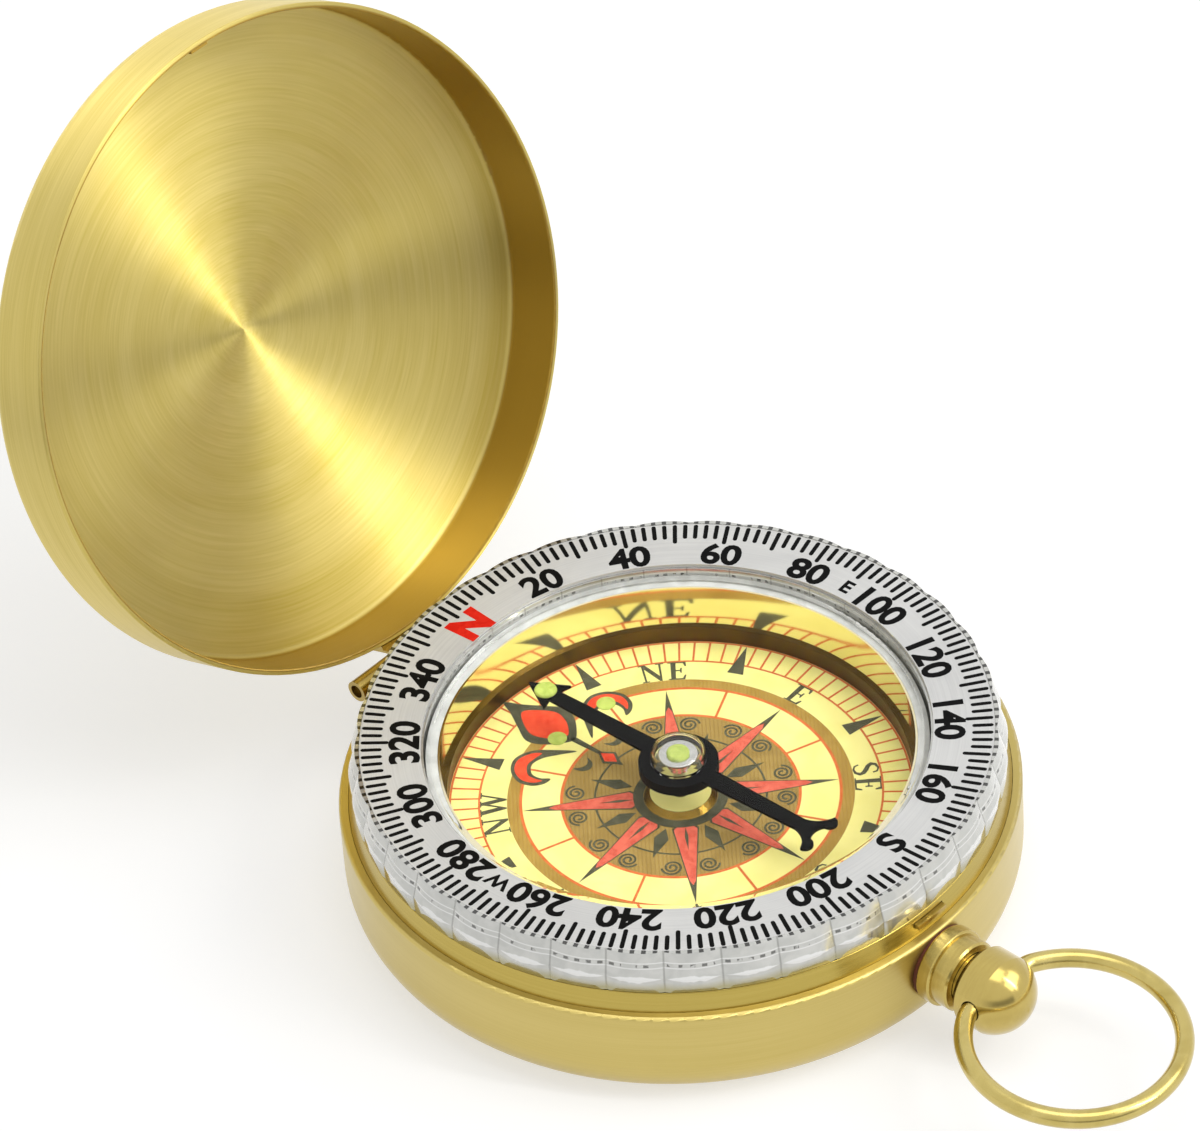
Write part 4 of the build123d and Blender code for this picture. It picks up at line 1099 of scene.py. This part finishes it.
def serif_word(text):
    """A word in serif letters, as outlines about the origin."""
    outlines = []
    reach = 0.0
    for letter in text:
        outline = serif_letter(letter)
        outlines.append([(x + reach, y) for x, y in outline])
        reach += max(x for x, y in outline) + LETTER_GAP
    middle = (reach - LETTER_GAP) / 2
    sized = []
    for outline in outlines:
        sized.append([((x - middle) * LETTER_HEIGHT, (y - MIDWAY) * LETTER_HEIGHT) for x, y in outline])
    return sized


def dial_pointers():
    """The grey pointers between the letters, and the grey letters."""
    pointer = [(-POINTER_HALF_WIDTH, POINTER_BASE), (POINTER_HALF_WIDTH, POINTER_BASE), (0, POINTER_TIP)]
    pointers = [[turned_to(bearing, pointer)] for bearing in between_points()]
    dial_layer("dial_pointers", pointers, 3, "grey_print")
    letters = []
    for place, text in enumerate(("NE", "E", "SE", "S", "SW", "W", "NW")):
        for outline in serif_word(text):
            letters.append([along_ring(outline, LETTER_RADIUS, POINT_STEP * (place + 1))])
    dial_layer("dial_letters", letters, 3, "grey_print")


def spike_half_width(radius):
    """Half the width of a long point of the rose at a radius."""
    return SPIKE_HALF_WIDTH * (SPIKE_TIP - radius) / (SPIKE_TIP - SPIKE_BASE)


def spike_edge():
    """A long point of the rose, dark to its tip."""
    half = SPIKE_HALF_WIDTH
    return [(0, SPIKE_TIP), (half, SPIKE_BASE), (0, SPIKE_BASE - half), (-half, SPIKE_BASE)]


def spike_red():
    """The red inside of a long point, which ends before its dark tip."""
    base = SPIKE_HALF_WIDTH - SPIKE_EDGE
    shoulder = SPIKE_RED_END - SPIKE_RED_NECK
    neck = spike_half_width(shoulder) - SPIKE_EDGE / 2
    return [
        (0, SPIKE_RED_END),
        (neck, shoulder),
        (base, SPIKE_BASE + SPIKE_EDGE),
        (0, SPIKE_BASE - base),
        (-base, SPIKE_BASE + SPIKE_EDGE),
        (-neck, shoulder),
    ]


def spike_fleck():
    """The engraver's dark stroke at the foot of a long point."""
    waist = (FLECK_HALF_WIDTH, SPIKE_BASE + FLECK_WAIST)
    return [(0, SPIKE_BASE + FLECK_TIP), waist, (0, SPIKE_BASE - FLECK_FOOT)] + mirrored([waist])


def kite():
    """A short grey leaf between two long points."""
    neck = (KITE_NECK_SHARE * KITE_HALF_WIDTH, MIDWAY * (KITE_WAIST + KITE_TIP) + KITE_NECK_RISE)
    side = [(KITE_HALF_WIDTH, KITE_WAIST), neck]
    return [(0, KITE_TIP)] + side[::-1] + [(0, KITE_BASE)] + mirrored(side)


def scroll():
    """A small scroll to the right of a long point."""
    points = []
    for step in range(SCROLL_STEPS + 1):
        share = step / SCROLL_STEPS
        turn = 2 * math.pi * SCROLL_TURNS * share
        radius = SCROLL_RADIUS * (1 - SCROLL_CLOSING * share)
        points.append((SCROLL_ASIDE + radius * math.cos(turn), SCROLL_AT + radius * math.sin(turn)))
    return stroke(points, [SCROLL_WIDTH] * len(points))


def rose():
    """The compass rose: red points with dark edges, grey leaves, scrolls and its round lines."""
    edges = []
    reds = []
    flecks = []
    scrolls = []
    for point in range(1, ROSE_POINTS):
        bearing = POINT_STEP * point
        edges.append([turned_to(bearing, spike_edge())])
        reds.append([turned_to(bearing, spike_red())])
        flecks.append([turned_to(bearing, spike_fleck())])
        scrolls.append([turned_to(bearing, scroll())])
        scrolls.append([turned_to(bearing, mirrored(scroll()))])
    kites = [[turned_to(bearing, kite())] for bearing in between_points()]
    dial_layer("rose_line", [line_ring(ROSE_LINE_RADIUS, LINE_WIDTH)], 2, "grey_print")
    dial_layer("rose_kites", kites, 3, "grey_print")
    dial_layer("rose_scrolls", scrolls, 3, "grey_print")
    dial_layer("rose_point_edges", edges, 4, "grey_print")
    dial_layer("rose_points", reds, 5, "rose_red")
    dial_layer("rose_flecks", flecks, 6, "grey_print")
    dial_layer("rose_centre_ring", [ring_outline(*CENTRE_RING)], 7, "grey_print")
    boss_face = [solid_from_outlines(ring_outline(*BOSS_FACE), layer(1))]
    printed("boss_face", boss_face, boss_height, DIAL_TURN, "dial", "case")


def lily():
    """The lily at north: a leaf, two curled side leaves, a stem, two crescents and a small diamond."""
    leaf_side = [(0.62, 15.9), (1.45, 14.5), (2.2, 13.1), (1.9, 11.9), (0.95, 10.8)]
    leaf = smooth([(0, 17.1)] + leaf_side + [(0, 10.2)] + mirrored(leaf_side)[::-1])
    red_side = [(0.7, 14.7), (1.45, 13.3), (1.2, 12.1), (0.5, 11.2)]
    leaf_red = smooth([(0, 15.3)] + red_side + [(0, 10.9)] + mirrored(red_side)[::-1])
    curl = smooth([
        (0.9, 9.25), (1.75, 10.6), (2.8, 11.9), (4.2, 12.4), (5.4, 11.8), (6.0, 10.6), (5.75, 9.5),
        (5.05, 8.9), (4.35, 8.85), (4.75, 9.5), (4.75, 10.3), (4.0, 10.95), (3.0, 10.8), (2.0, 10.1),
    ])
    curl_red = smooth([
        (2.6, 11.15), (3.1, 11.75), (4.2, 12.1), (5.2, 11.6), (5.7, 10.6), (5.5, 9.7), (4.9, 9.2),
        (5.05, 9.8), (5.0, 10.5), (4.2, 11.2), (3.2, 11.2),
    ])
    stem = stroke([(0, 10.4), (0, 9.2), (0, 7.6)], [0.5, 0.42, 0.3])
    diamond = [(0, 7.95), (0.75, 6.85), (0.2, 5.95), (0, 5.5), (-0.2, 5.95), (-0.75, 6.85)]
    diamond_red = [(0, 7.65), (0.52, 6.85), (0, 6.1), (-0.52, 6.85)]
    crescent = smooth([
        (0.95, 8.15), (1.2, 7.45), (1.75, 7.2), (2.3, 7.5),
        (2.5, 8.2), (2.1, 7.85), (1.65, 7.7), (1.25, 7.85),
    ])
    edges = [leaf, curl, mirrored(curl), stem, diamond, crescent, mirrored(crescent)]
    dial_layer("lily_edges", [[turned_to(NORTH, outline)] for outline in edges], 5, "grey_print")
    reds = [leaf_red, curl_red, mirrored(curl_red), diamond_red]
    dial_layer("lily_leaves", [[turned_to(NORTH, outline)] for outline in reds], 6, "lily_red")
    dots = [round_dot(LUME_DOT_RADIUS, x, y) for x, y in LUME_DOTS]
    dial_layer("lily_dots", [[turned_to(NORTH, outline)] for outline in dots], 8, "lume")


# Studio

def place_camera():
    """The camera at the photograph's place."""
    turn = Matrix.Rotation(CAMERA_AZIMUTH, 3, "Z")
    forward = turn @ Vector((0, math.cos(CAMERA_TILT), -math.sin(CAMERA_TILT)))
    right = turn @ Vector((1, 0, 0))
    up = right.cross(forward)
    x_axis = math.cos(CAMERA_ROLL) * right - math.sin(CAMERA_ROLL) * up
    y_axis = math.sin(CAMERA_ROLL) * right + math.cos(CAMERA_ROLL) * up
    spot = CAMERA_AIM - (CAMERA_ASIDE * x_axis + CAMERA_BELOW * y_axis + CAMERA_DISTANCE * forward)
    camera = bpy.data.objects.new("camera", bpy.data.cameras.new("camera"))
    camera.data.lens = CAMERA_LENS
    camera.data.sensor_width = CAMERA_SENSOR
    camera.data.clip_start = CAMERA_NEAR
    camera.data.dof.use_dof = False
    camera.matrix_world = Matrix(
        (
            (x_axis.x, y_axis.x, -forward.x, spot.x),
            (x_axis.y, y_axis.y, -forward.y, spot.y),
            (x_axis.z, y_axis.z, -forward.z, spot.z),
            (0, 0, 0, 1),
        )
    )
    bpy.context.scene.collection.objects.link(camera)
    bpy.context.scene.camera = camera


def lamp(name, spot, aim, size, power):
    """A soft box that faces a place. Lengths are in metres."""
    light = bpy.data.lights.new(name, "AREA")
    light.shape = "RECTANGLE"
    light.size = size[0]
    light.size_y = size[1]
    light.energy = power
    holder = bpy.data.objects.new(name, light)
    holder.location = spot
    holder.rotation_euler = (Vector(aim) - Vector(spot)).to_track_quat("-Z", "Y").to_euler()
    bpy.context.scene.collection.objects.link(holder)


def seen_directly(tree):
    """One where the eye, a mirror or a clear piece sees the background, and nought for plain lighting."""
    ray = add(tree, "LightPath")
    seen = sums(tree, "ADD", ray.outputs["Is Camera Ray"], ray.outputs["Is Glossy Ray"])
    return sums(tree, "ADD", seen, ray.outputs["Is Transmission Ray"], clamp=True)


def flag_side(tree, heading, side):
    """How far a heading lies to the left of an edge that stands at an angle."""
    return vectors(tree, "DOT_PRODUCT", heading, (-math.sin(side), math.cos(side), 0))


def dark_flag(tree):
    """How much of the white shiny metal sees: a dark flag stands low on the camera's side."""
    heading = vectors(tree, "NORMALIZE", add(tree, "TexCoord").outputs["Generated"])
    looking = add(tree, "SeparateXYZ")
    put(tree, looking.inputs[0], heading)
    rise = looking.outputs["Z"]
    left = fade(tree, flag_side(tree, heading, FLAG_LEFT), (-FLAG_LEFT_BLUR, FLAG_LEFT_BLUR))
    right = span(tree, flag_side(tree, heading, FLAG_RIGHT), -FLAG_RIGHT_BLUR, FLAG_RIGHT_BLUR, 0.0, 1.0)
    foot = span(tree, rise, 0.0, FLAG_FOOT, 0.0, 1.0)
    upright = sums(tree, "MULTIPLY", foot, fade(tree, rise, FLAG_HEAD))
    flag = sums(tree, "MULTIPLY", sums(tree, "MULTIPLY", left, right), upright)
    flag = sums(tree, "MULTIPLY", flag, add(tree, "LightPath").outputs["Is Glossy Ray"])
    return span(tree, flag, 0.0, 1.0, 1.0, FLAG_LEVEL)


def white_world():
    """A world that is white where it is seen, and lights at a lower level."""
    world = bpy.data.worlds.new("studio")
    bpy.context.scene.world = world
    world.use_nodes = True
    tree = world.node_tree
    background = tree.nodes["Background"]
    background.inputs["Color"].default_value = WHITE
    plain = span(tree, seen_directly(tree), 0.0, 1.0, WORLD_LEVEL, 1.0)
    put(tree, background.inputs["Strength"], sums(tree, "MULTIPLY", plain, dark_flag(tree)))


def floor_white():
    """Matt white that glows where it is seen, and a little more further out, so that it is evenly white."""
    material, tree, surface = start_material("floor_white")
    surface.inputs["Base Color"].default_value = (FLOOR_TONE, FLOOR_TONE, FLOOR_TONE, 1)
    surface.inputs["Roughness"].default_value = 0.8
    surface.inputs["Specular IOR Level"].default_value = 0.1
    surface.inputs["Emission Color"].default_value = WHITE
    far = span(tree, vectors(tree, "LENGTH", place_in(tree)), FAR_FROM, FAR_TO, 0.0, FAR_GLOW)
    far = sums(tree, "MULTIPLY", far, add(tree, "LightPath").outputs["Is Camera Ray"])
    glow = sums(tree, "ADD", sums(tree, "MULTIPLY", seen_directly(tree), FLOOR_GLOW), far)
    put(tree, surface.inputs["Emission Strength"], glow)
    return material


def white_floor():
    """The floor that the compass stands on."""
    mesh = bpy.data.meshes.new("floor")
    low = -FLOOR_REACH
    high = FLOOR_REACH
    mesh.from_pydata([(low, low, 0), (high, low, 0), (high, high, 0), (low, high, 0)], [], [(0, 1, 2, 3)])
    floor = bpy.data.objects.new("floor", mesh)
    bpy.context.scene.collection.objects.link(floor)
    mesh.materials.append(floor_white())


def studio():
    """A white floor and world, with soft boxes above and to the right."""
    white_world()
    white_floor()
    lamp("overhead", spot=(0.1, 0.05, 0.8), aim=(0, 0, 0.02), size=(0.5, 0.5), power=1.25)
    lamp("right", spot=(0.52, 0.34, 0.56), aim=(0, 0, 0.03), size=(0.7, 0.4), power=2.05)
    lamp("strip", spot=(0.58, 0.25, 0.58), aim=(0, 0, 0.03), size=(0.06, 0.6), power=1.2)


bpy.context.scene.view_settings.view_transform = "Standard"
dress_nodes()
flexing_spring()
bezel_ticks()
bezel_numbers()
dial_rings()
dial_pointers()
rose()
lily()
place_camera()
studio()
